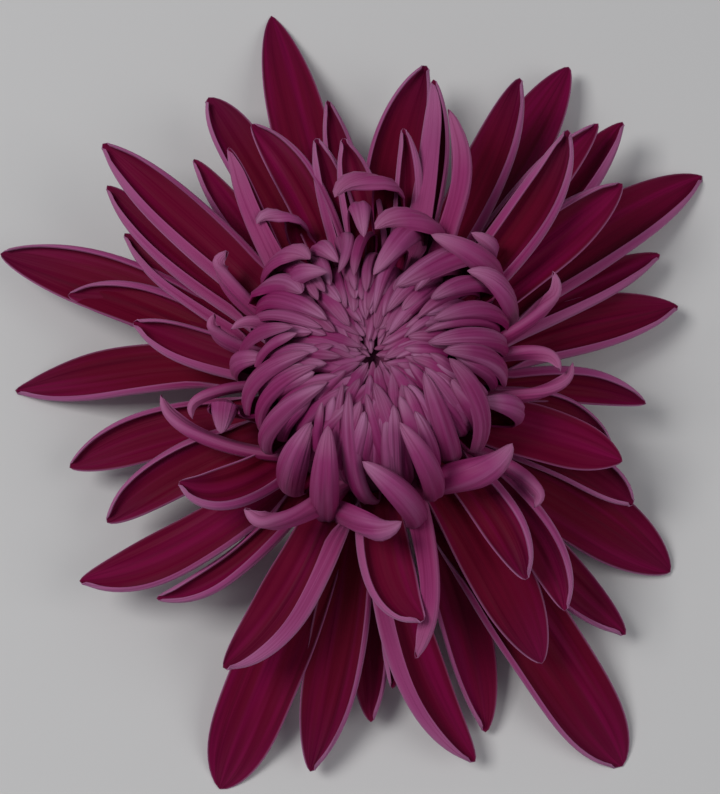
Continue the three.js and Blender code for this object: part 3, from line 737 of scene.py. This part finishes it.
HIGH_PETALS = [
    (132, 119, 47.5, 32, -14, 26, 4.8, 4, 0),
    (60, 75, 50.5, 31, 50, 10, 5, 0, 3.8),
    (300, 280, 41.5, 22, -50, -10, 4.8, 3.8, 0),
    (250, 176.6, 33.9, 23, -93, 13, 4, 3.6, 0),
    (24, 32, 34, 38, 100, 30, 3.6, 0, 3),
    (280, 225.5, 27.2, 35.5, -123, 11, 5.4, 4.2, 0),
    (339, 326, 31.5, 26.4, -117, -11, 4.4, 3.4, 0),
    (30, 6, 30.5, 32, -100, 10, 3.4, 2.8, 0),
    (2, 9.5, 33, 30, 90, 10, 3.6, 0, 2.9),
    (138, 156, 24, 33, 80, -30, 3.4, 0, 2.4),
    (142, 134.5, 32.2, 33, -120, 10, 4.2, 3.6, 0),
    (152, 152, 28, 31, -110, 10, 3.6, 3, 0),
    (158, 187.7, 28.3, 29, 120, -18, 2.8, 0, 2.3),
]
print("rows", len(LOW_PETALS), len(MIDDLE_PETALS), len(HIGH_PETALS))

# %% Bending a tier
NARROW_WIDTH = 8
BLUNT_TIPS = ((250, 247.5), (308, 307), (350, 342.7), (112, 115.5), (339, 326), (280, 225.5),
              (142, 134.5), (152, 152), (158, 187.7), (24, 32), (30, 6))
LEAVING_PULL = 0.36
ARRIVING_PULL = 0.34
SPREADING_CUP = math.radians(30)
ROLLED_CUP = math.radians(50)
BANK_PER_TURN = 0.7
STEEPEST_BANK = 55


def spreading_path(tier, row, index):
    root_azimuth, tip_azimuth, reach, height, turn, climb = row[:6]
    radius, level, stagger, rise = tier
    root = place(root_azimuth, radius, level + stagger * (index % 2))
    tip = place(tip_azimuth, reach, height)
    span = distance(root, tip)
    leaving = root + heading(root_azimuth, rise) * span * LEAVING_PULL
    arriving = tip - heading(tip_azimuth + turn, climb) * span * ARRIVING_PULL
    return bezier(root, leaving, arriving, tip)


def banked(azimuth, turn):
    """The left of a petal that heads along the azimuth and leans into its turn."""
    bank = math.radians(min(max(-turn * BANK_PER_TURN, -STEEPEST_BANK), STEEPEST_BANK))
    return left_of(azimuth) * math.cos(bank) + UP * math.sin(bank)


def spreading_petal(tier, row, index, number):
    root_azimuth, tip_azimuth, turn, width, folds = row[0], row[1], row[4], row[6], row[7:]
    high = tier is HIGH_TIER
    left_tip = banked(tip_azimuth + turn, turn) if high else left_of(tip_azimuth + turn)
    outline = NARROW_OUTLINE if high or width < NARROW_WIDTH else BROAD_OUTLINE
    if (root_azimuth, tip_azimuth) in BLUNT_TIPS:
        outline = BLUNT_OUTLINE
    cup = ROLLED_CUP if high else SPREADING_CUP
    blank = rolled_blank if high else strap_blank
    return bend(blank, STRAP_SPANS, spreading_path(tier, row, index), left_of(root_azimuth),
                left_tip, width, outline, cup, number, folds)


for name, tier, rows in (("low_petals", LOW_TIER, LOW_PETALS),
                         ("middle_petals", MIDDLE_TIER, MIDDLE_PETALS),
                         ("high_petals", HIGH_TIER, HIGH_PETALS)):
    first = FIRST_NUMBER[name]
    tier_petals = [spreading_petal(tier, row, i, first + i) for i, row in enumerate(rows)]
    gather(name, tier_petals, "petals", "petals")

# %% [markdown]
# ## The hooked petals
# Between the spreading tiers and the dome stand petals that rise to a shoulder and bend over to a
# tip that turns its back to the sky. Two Bezier curves that meet at the shoulder give that bend.

# %% Table of the hooked petals
# The root's azimuth, then azimuth, reach and height of the shoulder and of the tip, the width, and
# how far the tip turns left.
HOOKED_PETALS = [
    (80, 84, 36, 30, 100, 32, 35, 6.2, 50),
    (88, 93, 31, 34, 92, 24, 37, 4.6, 0),
    (64, 68, 30, 31, 88, 25, 38, 6.6, 40),
    (74, 74, 29, 30, 88, 17, 39, 4.8, 0),
    (38, 42, 29, 28, 68, 26, 38, 5.2, 0),
    (28, 30, 28, 27, 50, 24, 37, 5.6, 25),
    (48, 49, 32, 29, 58, 31, 33, 4.4, 0),
    (300, 300, 18, 25, 337, 24, 36, 6, 35),
    (252, 254, 20, 24, 283, 22, 35, 5.6, 50),
    (294, 293, 22, 27, 265, 13, 39, 5, 0),
    (304, 303, 20, 30, 300, 9, 43, 4.2, 0),
    (254, 250, 21, 26, 231, 10, 41, 5, 0),
    (230, 228, 20, 24, 216, 11, 38, 5.6, 0),
    (355, 355, 25, 27, 353, 17, 34, 4.6, 0),
    (180, 181.5, 23, 29, 194, 24.4, 28, 6.2, 0),
    (168, 166.6, 23, 28, 164, 16.7, 35, 4.6, 0),
    (126, 127, 27, 29, 115, 22, 38, 6.8, -40),
    (128, 127, 22, 32, 111, 18, 41, 4.4, 0),
    (110, 110, 26, 30, 104, 20, 38, 4.4, 0),
    (110, 111, 32, 29, 123, 33.5, 32, 4.8, 60),
]
print("rows", len(HOOKED_PETALS))

# %% Bending the hooked petals, whose roots have this reach, height and climb
HOOK_TIER = (7, 20, 31)
SHOULDER_PULL = 0.38
HOOK_PULL = 0.45
HOOK_DIVE = -0.3
HOOK_WAVES = 0.5
ROUND_ALLOWANCE = 1.17
ROUND_BACK = {"cup": math.radians(75), "roundness": 1.0, "dent": 0.12, "veins": 0.03}


def over_shoulder(root, leaving, shoulder, over, tip, arriving, pull):
    """A curve from the root up to the shoulder and one from there to the tip, joined."""
    lower = distance(root, shoulder) * SHOULDER_PULL
    upper = distance(shoulder, tip) * pull
    rise = bezier(root, root + leaving * lower, shoulder - over * lower, shoulder)
    bow = bezier(shoulder, shoulder + over * upper, tip - arriving * upper, tip)
    return np.concatenate([rise, bow[1:]])


def arrival(shoulder, tip, turn):
    """The level direction in which a petal arrives at its tip."""
    level = unit((tip - shoulder) * np.array([1, 1, 0]))
    return level * math.cos(math.radians(turn)) + np.cross(UP, level) * math.sin(math.radians(turn))


def hook_path(azimuth, root, shoulder, tip, over, dive, turn=0):
    leaving = heading(azimuth, HOOK_TIER[2])
    arriving = unit(arrival(shoulder, tip, turn) + dive * UP)
    return over_shoulder(root, leaving, shoulder, over, tip, arriving, HOOK_PULL)


def back_to_the_sky(shoulder, tip, turn=0):
    return np.cross(arrival(shoulder, tip, turn), UP)


def hooked_petal(row, number):
    root = place(row[0], *HOOK_TIER[:2])
    shoulder, tip = place(*row[1:4]), place(*row[4:7])
    width, turn = row[7:]
    path = hook_path(row[0], root, shoulder, tip, UP, HOOK_DIVE, turn)
    return bend(hook_blank, HOOK_SPANS, path, left_of(row[0]), back_to_the_sky(shoulder, tip, turn),
                width * ROUND_ALLOWANCE, HOOK_OUTLINE, number=number, wavy=HOOK_WAVES, **ROUND_BACK)


first = FIRST_NUMBER["hooked_petals"]
hooked_petals = [hooked_petal(row, first + i) for i, row in enumerate(HOOKED_PETALS)]
gather("hooked_petals", hooked_petals, "petals", "petals")

# %% [markdown]
# ## The incurved dome
# In the middle nearly two hundred petals lie over one another along a ball and close over a dark
# eye. They grow by the golden angle, as seeds do, so a rule with a little chance places the small
# ones. The whole ball is pressed flatter, dips at the eye and leans a little toward azimuth 90.

# %% The ball and its own frame
DOME_MIDDLE = np.array([1, 3.5, 29.5])
DOME_FLATNESS = 0.7
DOME_LEAN = math.radians(5)
EYE_DIP = 5
EYE_RADIUS = 7
DIP_TRIES = 3
lean_turn = np.array([[1, 0, 0],
                      [0, math.cos(DOME_LEAN), -math.sin(DOME_LEAN)],
                      [0, math.sin(DOME_LEAN), math.cos(DOME_LEAN)]])


def leaned(vectors):
    return vectors @ lean_turn


def eye_dip(points):
    reach = np.hypot(points[..., 0], points[..., 1])
    return EYE_DIP * np.exp(-(reach / EYE_RADIUS) ** 2)


def settle_in_dome(path):
    """A path round the ball's middle, dipped at the eye, pressed flatter, leaned and put in place."""
    pressed = path * np.array([1, 1, DOME_FLATNESS])
    pressed[:, 2] -= eye_dip(path)
    return leaned(pressed) + DOME_MIDDLE


def seen_on_ball(across, down, ball):
    """The point of the ball, in its own frame, that a pixel shows."""
    upright = np.array([1, 1, 1 / DOME_FLATNESS])
    start = (EYE - DOME_MIDDLE) @ lean_turn.T * upright
    direction = unit(line_of_sight(across, down) @ lean_turn.T * upright)
    seen, dip = None, 0
    for _ in range(DIP_TRIES):
        raised = start + UP * dip / DOME_FLATNESS
        beside = raised - direction * (raised @ direction)
        seen = beside - direction * math.sqrt(max(ball ** 2 - beside @ beside, 0))
        dip = eye_dip(seen)
    return seen


print("the eye lies", round(float(eye_dip(np.zeros(3))), 1), "mm deep in the ball")

# %% Numbers that look like chance and come out the same each time
DOME_SEED = 7
DICE_FACTOR = 1664525
DICE_STEP = 1013904223
DICE_SIDES = 2 ** 32


def dice(seed):
    state = seed
    while True:
        state = (state * DICE_FACTOR + DICE_STEP) % DICE_SIDES
        yield state / DICE_SIDES


rolls = dice(DOME_SEED)


def spread(amount):
    return (next(rolls) * 2 - 1) * amount


# %% The small petals by rule, from the innermost to the outermost
RULE_PETALS = 96
GOLDEN_ANGLE = 137.508
AZIMUTH_SCATTER = 9
FIRST_TIP_TILT = 4
TIP_TILT_GROWS = 34
TILT_SCATTER = 2.5
SHOULDER_PAST_TIP = (24, 48)
RULE_BALL = (16.4, 19.5)
BALL_SCATTER = 0.6
SWIRL = 14
SWIRL_DIES_OUT = 1.2
ROOT_REACH = 9
ROOT_REACH_GROWS = 4
ROOT_SINKS = 6
TIP_LIFTS = 0.12
RULE_WIDTH = (2, 3.6)
WIDTH_SCATTER = 0.2
SMALL_OUTLINE = (0.8, 0.6, 3.6)
DOME_WAVES = 0.4


def rule_petal(index):
    share = (index + 0.5) / RULE_PETALS

    def between(inner, outer):
        return inner + (outer - inner) * share

    azimuth = index * GOLDEN_ANGLE + spread(AZIMUTH_SCATTER)
    tip_tilt = FIRST_TIP_TILT + TIP_TILT_GROWS * share + spread(TILT_SCATTER)
    shoulder_tilt = tip_tilt + between(*SHOULDER_PAST_TIP)
    ball = between(*RULE_BALL) + spread(BALL_SCATTER)

    def on_ball(direction, tilt):
        lean = math.radians(tilt)
        return place(direction, ball * math.sin(lean), ball * math.cos(lean))

    swirl = (SWIRL + spread(SWIRL)) * (SWIRL_DIES_OUT - share)
    shoulder, tip = on_ball(azimuth, shoulder_tilt), on_ball(azimuth + swirl, tip_tilt)
    root = place(azimuth, ROOT_REACH + ROOT_REACH_GROWS * share, -ROOT_SINKS * share)
    dive = math.tan(math.radians(tip_tilt)) - TIP_LIFTS
    over = heading(azimuth + 180, shoulder_tilt)
    path = settle_in_dome(hook_path(azimuth, root, shoulder, tip, over, dive))
    width = between(*RULE_WIDTH) * (1 + spread(WIDTH_SCATTER))
    return bend(dome_blank, HOOK_SPANS, path, leaned(left_of(azimuth)),
                leaned(back_to_the_sky(shoulder, tip)), width * ROUND_ALLOWANCE, SMALL_OUTLINE,
                number=FIRST_NUMBER["centre_petals"] + index, wavy=DOME_WAVES, **ROUND_BACK)


gather("centre_petals", [rule_petal(i) for i in range(RULE_PETALS)], "petals", "petals")

# %% [markdown]
# ## The dome's large petals
# The large petals that lie over the small ones give the dome its look, and no rule draws them. Each
# has a row with the pixel where its tip is seen, the pixel where it goes over the dome's shoulder,
# its width laid flat, how far it stands above its neighbours, and how many degrees it sweeps left.

# %% Table of the dome's large petals
# Across and down to the tip's pixel and to the shoulder's, then width, lift and sweep.
DOME_FINGERS = [
    (396, 286, 480, 252, 6.8, 0.5, -6),
    (386, 312, 456, 266, 4.4, 0.1, -8),
    (388, 334, 455, 290, 4, -0.2, -8),
    (416, 319, 478, 290, 2.8, -0.3, -8),
    (431, 299, 492, 286, 4.4, 0.3, -12),
    (433, 320, 508, 320, 4.4, 0.5, -12),
    (424, 332, 500, 328, 2.6, -0.2, -6),
    (404, 337, 470, 312, 2.8, -0.6, -6),
    (382, 344, 440, 322, 2.4, -0.6, -8),
    (384, 358, 442, 342, 2.8, -0.6, -8),
    (428, 343, 508, 345, 4.8, 0.2, -4),
    (404, 348, 445, 352, 2.4, -0.5, 0),
    (443, 351, 508, 376, 4.8, 0.6, -10),
    (430, 353, 468, 385, 2.4, -0.3, -6),
    (411, 357, 470, 405, 4, -0.2, -14),
    (449, 358, 483, 448, 5.6, 0.4, -8),
    (424, 372, 456, 462, 4.8, 0.3, 12),
    (409, 362, 432, 392, 2, -0.4, 0),
    (390, 365, 412, 400, 3, -0.4, -8),
    (404, 385, 425, 450, 3.6, 0, -6),
    (374, 382, 404, 488, 4.8, 0.2, -6),
    (366, 393, 388, 470, 2.6, -0.4, 0),
    (349, 391, 371, 505, 3.8, 0.1, 4),
    (343, 382, 350, 485, 2, -0.3, 0),
    (322, 402, 316, 450, 1.8, -0.4, 0),
    (334, 396, 322, 445, 2.4, -0.6, 0),
    (326, 384, 262, 450, 4.4, 0.3, 10),
    (318, 365, 258, 428, 3.6, 0.1, 12),
    (310, 352, 243, 408, 4.4, 0.3, 12),
    (346, 370, 318, 398, 2.2, -0.4, 6),
    (368, 362, 345, 400, 3.6, -0.5, 4),
    (333, 345, 288, 366, 2.4, -0.5, 6),
    (362, 347, 312, 334, 2.8, -0.5, 6),
    (360, 335, 306, 312, 3.2, -0.5, 8),
    (362, 322, 325, 296, 2.4, -0.6, 8),
    (327, 320, 258, 302, 4.8, 0.2, 12),
    (322, 328, 250, 322, 2.4, -0.2, 8),
    (293, 327, 238, 356, 3.6, 0.3, 12),
    (297, 333, 255, 360, 2.4, -0.1, 8),
    (302, 293, 256, 290, 5.2, 0.3, 30),
    (325, 292, 280, 264, 3.2, 0, 14),
    (346, 308, 335, 268, 2.2, -0.4, 0),
    (355, 290, 350, 258, 2, -0.2, 0),
    (354, 276, 368, 232, 2.6, 0.2, -8),
    (366, 292, 374, 252, 2, 0, -4),
    (368, 310, 386, 268, 2.4, -0.2, -4),
    (374, 313, 402, 248, 2.6, 0, -6),
    (338, 273, 346, 232, 2.6, 0.1, 16),
    (362, 300, 358, 270, 1.8, -0.4, 0),
    (368, 313, 372, 280, 2, -0.3, 0),
    (371, 314, 384, 272, 2.4, -0.4, -6),
    (366, 319, 360, 294, 1.8, -0.7, 0),
    (368, 341, 374, 312, 2.2, -0.8, 0),
    (377, 332, 382, 304, 1.5, -0.7, 0),
    (373, 341, 380, 318, 1.5, -1, -8),
    (384, 326, 396, 302, 1.7, -0.6, -6),
    (378, 338, 394, 314, 1.7, -0.9, -8),
    (386, 336, 402, 316, 1.5, -0.8, 0),
    (386, 331, 412, 294, 2.4, -0.5, -6),
    (383, 316, 398, 280, 2.2, -0.3, -6),
    (381, 345, 426, 318, 1.9, -0.7, -4),
    (383, 350, 408, 334, 1.7, -0.9, 0),
    (384, 360, 410, 340, 2, -0.8, -8),
    (376, 355, 394, 350, 1.8, -1.1, 0),
    (374, 349, 392, 340, 1.5, -1.2, 0),
    (385, 363, 404, 362, 1.7, -0.8, 0),
    (396, 358, 420, 348, 1.7, -0.6, -6),
    (397, 363, 424, 368, 1.8, -0.7, 6),
    (384, 367, 396, 395, 1.7, -0.6, 0),
    (378, 365, 385, 395, 1.6, -0.7, 0),
    (370, 374, 368, 410, 1.9, -0.5, 0),
    (360, 378, 340, 420, 2.2, -0.4, 4),
    (363, 346, 330, 340, 2, -0.9, 6),
    (362, 353, 328, 356, 2, -0.9, 0),
    (360, 362, 330, 378, 2, -0.8, 4),
    (365, 336, 336, 316, 2.4, -0.8, 10),
    (364, 326, 342, 296, 2, -0.7, 8),
    (373, 361, 371, 400, 2, -0.9, 0),
    (380, 360, 394, 392, 1.8, -1, 0),
    (376, 367, 381, 404, 2.2, -0.7, 0),
    (379, 355, 404, 352, 1.7, -1, 0),
    (366, 356, 334, 364, 2, -1, 0),
    (363, 340, 338, 326, 1.9, -1, 0),
    (367, 349, 346, 336, 1.7, -1.2, 0),
    (415, 291, 462, 246, 3.6, -0.3, -6),
    (345, 262, 340, 236, 2.6, -0.3, 0),
    (330, 285, 312, 252, 3, -0.4, 8),
    (318, 300, 284, 262, 3.4, -0.3, 10),
]
print("rows", len(DOME_FINGERS))

# %% Bending the dome's large petals
PIXEL_ON_DOME = 0.154
EYE_PIXEL = (372, 350)
FINGER_BALL = 18
FINGER_BALL_GROWS = 6
FINGER_PULL = 0.36
FINGER_ROOT = 0.6
FINGER_TIP_DIP = 0.15
FINGER_OUTLINE = (0.75, 0.55, 2.2)
SMALL_WIDTH = 2.5


def swept(direction, normal, angle):
    """A direction on the ball turned to its left by an angle, seen from outside."""
    return direction * math.cos(angle) + np.cross(normal, direction) * math.sin(angle)


def dome_finger(row, number):
    tip_x, tip_y, shoulder_x, shoulder_y, width, lift, sweep = row
    reach = math.hypot(tip_x - EYE_PIXEL[0], tip_y - EYE_PIXEL[1]) * PIXEL_ON_DOME
    ball = FINGER_BALL + FINGER_BALL_GROWS * (reach / FINGER_BALL) ** 2 + lift
    tip, shoulder = seen_on_ball(tip_x, tip_y, ball), seen_on_ball(shoulder_x, shoulder_y, ball)
    at_tip, at_shoulder = unit(tip), unit(shoulder)
    over = unit(at_tip - at_shoulder * (at_tip @ at_shoulder))
    arriving = unit(at_tip * (at_tip @ at_shoulder) - at_shoulder)
    over = swept(over, at_shoulder, math.radians(sweep))
    arriving = unit(swept(arriving, at_tip, -math.radians(sweep)) - FINGER_TIP_DIP * at_tip)
    path = settle_in_dome(over_shoulder(shoulder * FINGER_ROOT, at_shoulder, shoulder, over, tip,
                                        arriving, FINGER_PULL))
    return bend(dome_blank, HOOK_SPANS, path, leaned(unit(np.cross(over, at_shoulder))),
                leaned(unit(np.cross(arriving, at_tip))), width,
                FINGER_OUTLINE if width > SMALL_WIDTH else SMALL_OUTLINE,
                number=number, wavy=DOME_WAVES, **ROUND_BACK)


first = FIRST_NUMBER["dome_petals"]
dome_fingers = [dome_finger(row, first + i) for i, row in enumerate(DOME_FINGERS)]
gather("dome_petals", dome_fingers, "petals", "petals")

# %% [markdown]
# ## The head under the petals
# The petals stand on a solid head, which shows only as a dark ground between their roots. A disc
# is extruded upward ring by ring and scaled at each step, which is turning without a lathe.

# %% Turned solids from a disc
CRISP_BELOW = math.radians(50)


def turned(name, profile, vertices, material):
    bpy.ops.object.select_all(action="DESELECT")
    radius, height = profile[0]
    centre_at = (AXIS[0] * MM, AXIS[1] * MM, height * MM)
    bpy.ops.mesh.primitive_circle_add(vertices=vertices, radius=radius * MM, fill_type="NGON",
                                      location=centre_at)
    solid = bpy.context.object
    solid.name = name
    bpy.ops.object.transform_apply(location=True, rotation=True, scale=True)
    bpy.ops.object.mode_set(mode="EDIT")
    bpy.ops.mesh.select_all(action="SELECT")
    for wider, higher in profile[1:]:
        rise = (higher - height) * MM
        bpy.ops.mesh.extrude_region_move(TRANSFORM_OT_translate={"value": (0, 0, rise)})
        bpy.ops.transform.resize(value=(wider / radius, wider / radius, 1),
                                 center_override=(centre_at[0], centre_at[1], higher * MM))
        radius, height = wider, higher
    bpy.ops.mesh.select_all(action="SELECT")
    bpy.ops.mesh.normals_make_consistent(inside=False)
    bpy.ops.object.mode_set(mode="OBJECT")
    solid.data.materials.append(material)
    return solid


def soft_edges(solid, width, segments):
    only(solid)
    bevel = solid.modifiers.new("soft edges", "BEVEL")
    bevel.width = width * MM
    bevel.segments = segments
    bevel.limit_method = "ANGLE"
    bpy.ops.object.modifier_apply(modifier=bevel.name)
    bpy.ops.object.shade_smooth_by_angle(angle=CRISP_BELOW)


# %% A finish for what has no blade to follow
SPOT_DETAIL = 3.0


def spotted_finish(name, ground, spots, scale, rough, depth):
    """A plain ground with soft spots on Object coordinates, and as deep a relief as given."""
    material = bpy.data.materials.new(name)
    material.use_nodes = True
    tree = material.node_tree
    shader = tree.nodes["Principled BSDF"]
    spot_at = add_node(tree, "ShaderNodeTexCoord")
    noise = add_node(tree, "ShaderNodeTexNoise", {"Scale": scale, "Detail": SPOT_DETAIL})
    mix = add_node(tree, "ShaderNodeMix", {MIX_BELOW: (*ground, 1), MIX_ABOVE: (*spots, 1)},
                   data_type="RGBA")
    bump = add_node(tree, "ShaderNodeBump", {"Distance": depth * MM})
    link(tree, spot_at.outputs["Object"], noise.inputs["Vector"])
    link(tree, noise.outputs["Fac"], mix.inputs[MIX_AMOUNT])
    link(tree, mix.outputs[MIXED], shader.inputs["Base Color"])
    link(tree, noise.outputs["Fac"], bump.inputs["Height"])
    link(tree, bump.outputs["Normal"], shader.inputs["Normal"])
    shader.inputs["Roughness"].default_value = rough
    return material


# %% The head
ROUND_SIDES = 48
HEAD_PROFILE = [(8.8, 14.1), (13.6, 16.6), (14.6, 22), (15.5, 28), (13.5, 32.5), (8, 34.5), (0.5, 32)]
head_skin = spotted_finish("head_skin", ground=(0.13, 0.01, 0.06), spots=(0.2, 0.03, 0.1),
                           scale=600, rough=0.9, depth=0.3)
head = turned("head", HEAD_PROFILE, ROUND_SIDES, head_skin)
only(head)
bpy.ops.object.shade_smooth_by_angle(angle=SMOOTH_BELOW)
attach(head, "root")
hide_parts("petals")
print("head faces", len(head.data.polygons))

# %% [markdown]
# ## The calyx
# Under the head sits a green cup with two rows of pointed bracts. The cup is turned as the head
# was, and a bract is one more bent strip, hollow as a spoon and with a dry, pale margin.

# %% The cup
CUP_PROFILE = [(3.7, 7.3), (7.6, 9.4), (9.4, 12.4), (8.6, 13.6)]
CUP_EDGE = 0.6
CUP_EDGE_STEPS = 3
cup_green = spotted_finish("cup_green", ground=(0.06, 0.1, 0.025), spots=(0.13, 0.18, 0.055),
                           scale=900, rough=0.7, depth=0.15)
cup = turned("calyx_cup", CUP_PROFILE, ROUND_SIDES, cup_green)
soft_edges(cup, CUP_EDGE, CUP_EDGE_STEPS)
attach(cup, "root")
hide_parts("calyx")
print("cup faces", len(cup.data.polygons))

# %% The bracts, a row each: place in the turn, reach and height of root and tip, climb, width
BRACTS_PER_ROW = 12
BRACT_ROWS = [(0, 6.4, 9.4, 11.6, 13.3, 40, 4.2), (0.5, 4.2, 8.3, 10, 10.6, 25, 3.4)]
BRACT_RISE = 5
BRACT_CUP = math.radians(35)
BRACT_WAVES = 0.4
BRACT_ROWS_OF_MESH = 10
bract_green = blade_finish(
    "bract_green",
    lengthwise=[(0.0, (0.09, 0.13, 0.035)), (0.5, (0.075, 0.12, 0.03)), (1.0, (0.06, 0.075, 0.025))],
    turn_to=((0.1, 0.12, 0.04), 0.5),
    layers=[((0.8, 0.05, 3.7), 0.4, 0.7, (0.15, 0.2, 0.06), 0.5),
            ((2.0, 0.1, 5.3), 0.5, 0.75, (0.04, 0.07, 0.02), 0.5)],
    line=(0.5, (0.34, 0.3, 0.2), 0.8), rough=(0.55, 0.7), sheen=(0.15, (0.8, 0.9, 0.7)),
    relief=((2.2, 0.06, 6.7), 0.15))
bract_blank = make_blank("bract_blank", HOOK_SPANS, BRACT_ROWS_OF_MESH, bract_green, bract_green)
bracts = []
for offset, root_reach, root_height, tip_reach, tip_height, climb, width in BRACT_ROWS:
    for i in range(BRACTS_PER_ROW):
        azimuth = (i + offset) * 360 / BRACTS_PER_ROW
        root, tip = place(azimuth, root_reach, root_height), place(azimuth, tip_reach, tip_height)
        span = distance(root, tip)
        path = bezier(root, root + heading(azimuth, BRACT_RISE) * span * LEAVING_PULL,
                      tip - heading(azimuth, climb) * span * ARRIVING_PULL, tip)
        bracts.append(bend(bract_blank, HOOK_SPANS, path, left_of(azimuth), left_of(azimuth), width,
                           HOOK_OUTLINE, BRACT_CUP, FIRST_NUMBER["bracts"] + len(bracts),
                           wavy=BRACT_WAVES))
gather("bracts", bracts, "calyx", "calyx")

# %% [markdown]
# ## The stub of stem
# The stem was cut square a few millimetres under the calyx. It has five soft ribs, so a cylinder's
# lines are pushed outward at a rib and inward between two, and the cut shows its paler pith.

# %% Ribbed stem
STEM_RADIUS = 3.1
STEM_HEIGHT = 7
STEM_RIBS = 5
RIB_DEPTH = 0.35
STEM_SIDES = 60
LINES_TO_GROOVE = STEM_SIDES // STEM_RIBS // 2
SAME_LINE = 0.02
stem_green = spotted_finish("stem_green", ground=(0.1, 0.15, 0.045), spots=(0.17, 0.22, 0.08),
                            scale=1200, rough=0.65, depth=0.12)
stem = turned("ribbed_stem", [(STEM_RADIUS, 0.0), (STEM_RADIUS, STEM_HEIGHT)], STEM_SIDES, stem_green)
for rank in range(LINES_TO_GROOVE + 1):
    closeness = math.cos(rank * math.pi / LINES_TO_GROOVE)

    def on_rib_line(vertex):
        x, y = vertex.co.x / MM - AXIS[0], vertex.co.y / MM - AXIS[1]
        return abs(math.cos(STEM_RIBS * math.atan2(y, x)) - closeness) < SAME_LINE

    select_where(stem, "VERT", on_rib_line)
    wider = 1 + RIB_DEPTH * closeness / STEM_RADIUS
    bpy.ops.transform.resize(value=(wider, wider, 1), center_override=(AXIS[0] * MM, AXIS[1] * MM, 0))
bpy.ops.object.mode_set(mode="OBJECT")
print("stem faces", len(stem.data.polygons))

# %% The cut end
RIND = 0.5
PITH_EDGE = 0.3
PITH_SINKS = 0.15
pith_pale = spotted_finish("pith_pale", ground=(0.35, 0.4, 0.22), spots=(0.5, 0.52, 0.34),
                           scale=2500, rough=0.85, depth=0.2)
stem.data.materials.append(pith_pale)
select_where(stem, "FACE", lambda side: side.normal.z < -FACES_UP)
bpy.ops.mesh.inset(thickness=RIND * MM, depth=0)
bpy.ops.mesh.inset(thickness=PITH_EDGE * MM, depth=-PITH_SINKS * MM)
stem.active_material_index = 1
bpy.ops.object.material_slot_assign()
bpy.ops.object.mode_set(mode="OBJECT")
only(stem)
bpy.ops.object.shade_smooth_by_angle(angle=CRISP_BELOW)
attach(stem, "root")
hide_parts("stem")
print("stem faces with the cut end", len(stem.data.polygons))

# %% The blanks are no longer needed
for blank in (strap_blank, rolled_blank, hook_blank, dome_blank, bract_blank):
    bpy.data.objects.remove(blank)

# %% [markdown]
# ## Floor and light
# A pale floor, a soft light high on the left, a weaker and wider one on the right and a faint light
# from all round show the bloom as on a dull day.

# %% Floor
FLOOR_SIZE = 3
bpy.ops.object.select_all(action="DESELECT")
bpy.ops.mesh.primitive_plane_add(size=FLOOR_SIZE, location=(0, 0, 0))
floor = bpy.context.object
floor.name = "floor"
pale_floor = spotted_finish("pale_floor", ground=(0.62, 0.61, 0.6), spots=(0.66, 0.65, 0.64),
                            scale=4, rough=0.9, depth=0)
floor.data.materials.append(pale_floor)
floor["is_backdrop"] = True
print("floor", FLOOR_SIZE, "m")

# %% Lights, with places and sizes in metres and power in watts
CLOUDY_BLUE = (0.85, 0.9, 1)
CLOUDY_STRENGTH = 0.21
world = bpy.data.worlds.new("dull day")
world.use_nodes = True
world.node_tree.nodes["Background"].inputs["Color"].default_value = (*CLOUDY_BLUE, 1)
world.node_tree.nodes["Background"].inputs["Strength"].default_value = CLOUDY_STRENGTH
bpy.context.scene.world = world


def soft_light(name, location, size, power):
    """A square light that faces the middle of the floor."""
    data = bpy.data.lights.new(name, "AREA")
    data.size = size
    data.energy = power
    lamp = bpy.data.objects.new(name, data)
    lamp.location = location
    toward = -np.array(location)
    lamp.rotation_euler = (math.atan2(math.hypot(toward[0], toward[1]), -toward[2]), 0,
                           math.atan2(toward[1], toward[0]) - math.pi / 2)
    bpy.context.collection.objects.link(lamp)
    print(name, "light of", power, "W")


soft_light("sky", location=(-0.45, 0.04, 0.72), size=0.34, power=3.6)
soft_light("fill", location=(0.55, -0.15, 0.6), size=0.5, power=1.4)

# %% Colours are shown as they are, with no film look
bpy.context.scene.view_settings.view_transform = "Standard"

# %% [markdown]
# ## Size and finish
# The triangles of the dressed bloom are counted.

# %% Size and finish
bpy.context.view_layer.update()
faces = [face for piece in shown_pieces() if piece.type == "MESH" for face in piece.data.polygons]
print("triangles", sum(len(face.vertices) - 2 for face in faces))
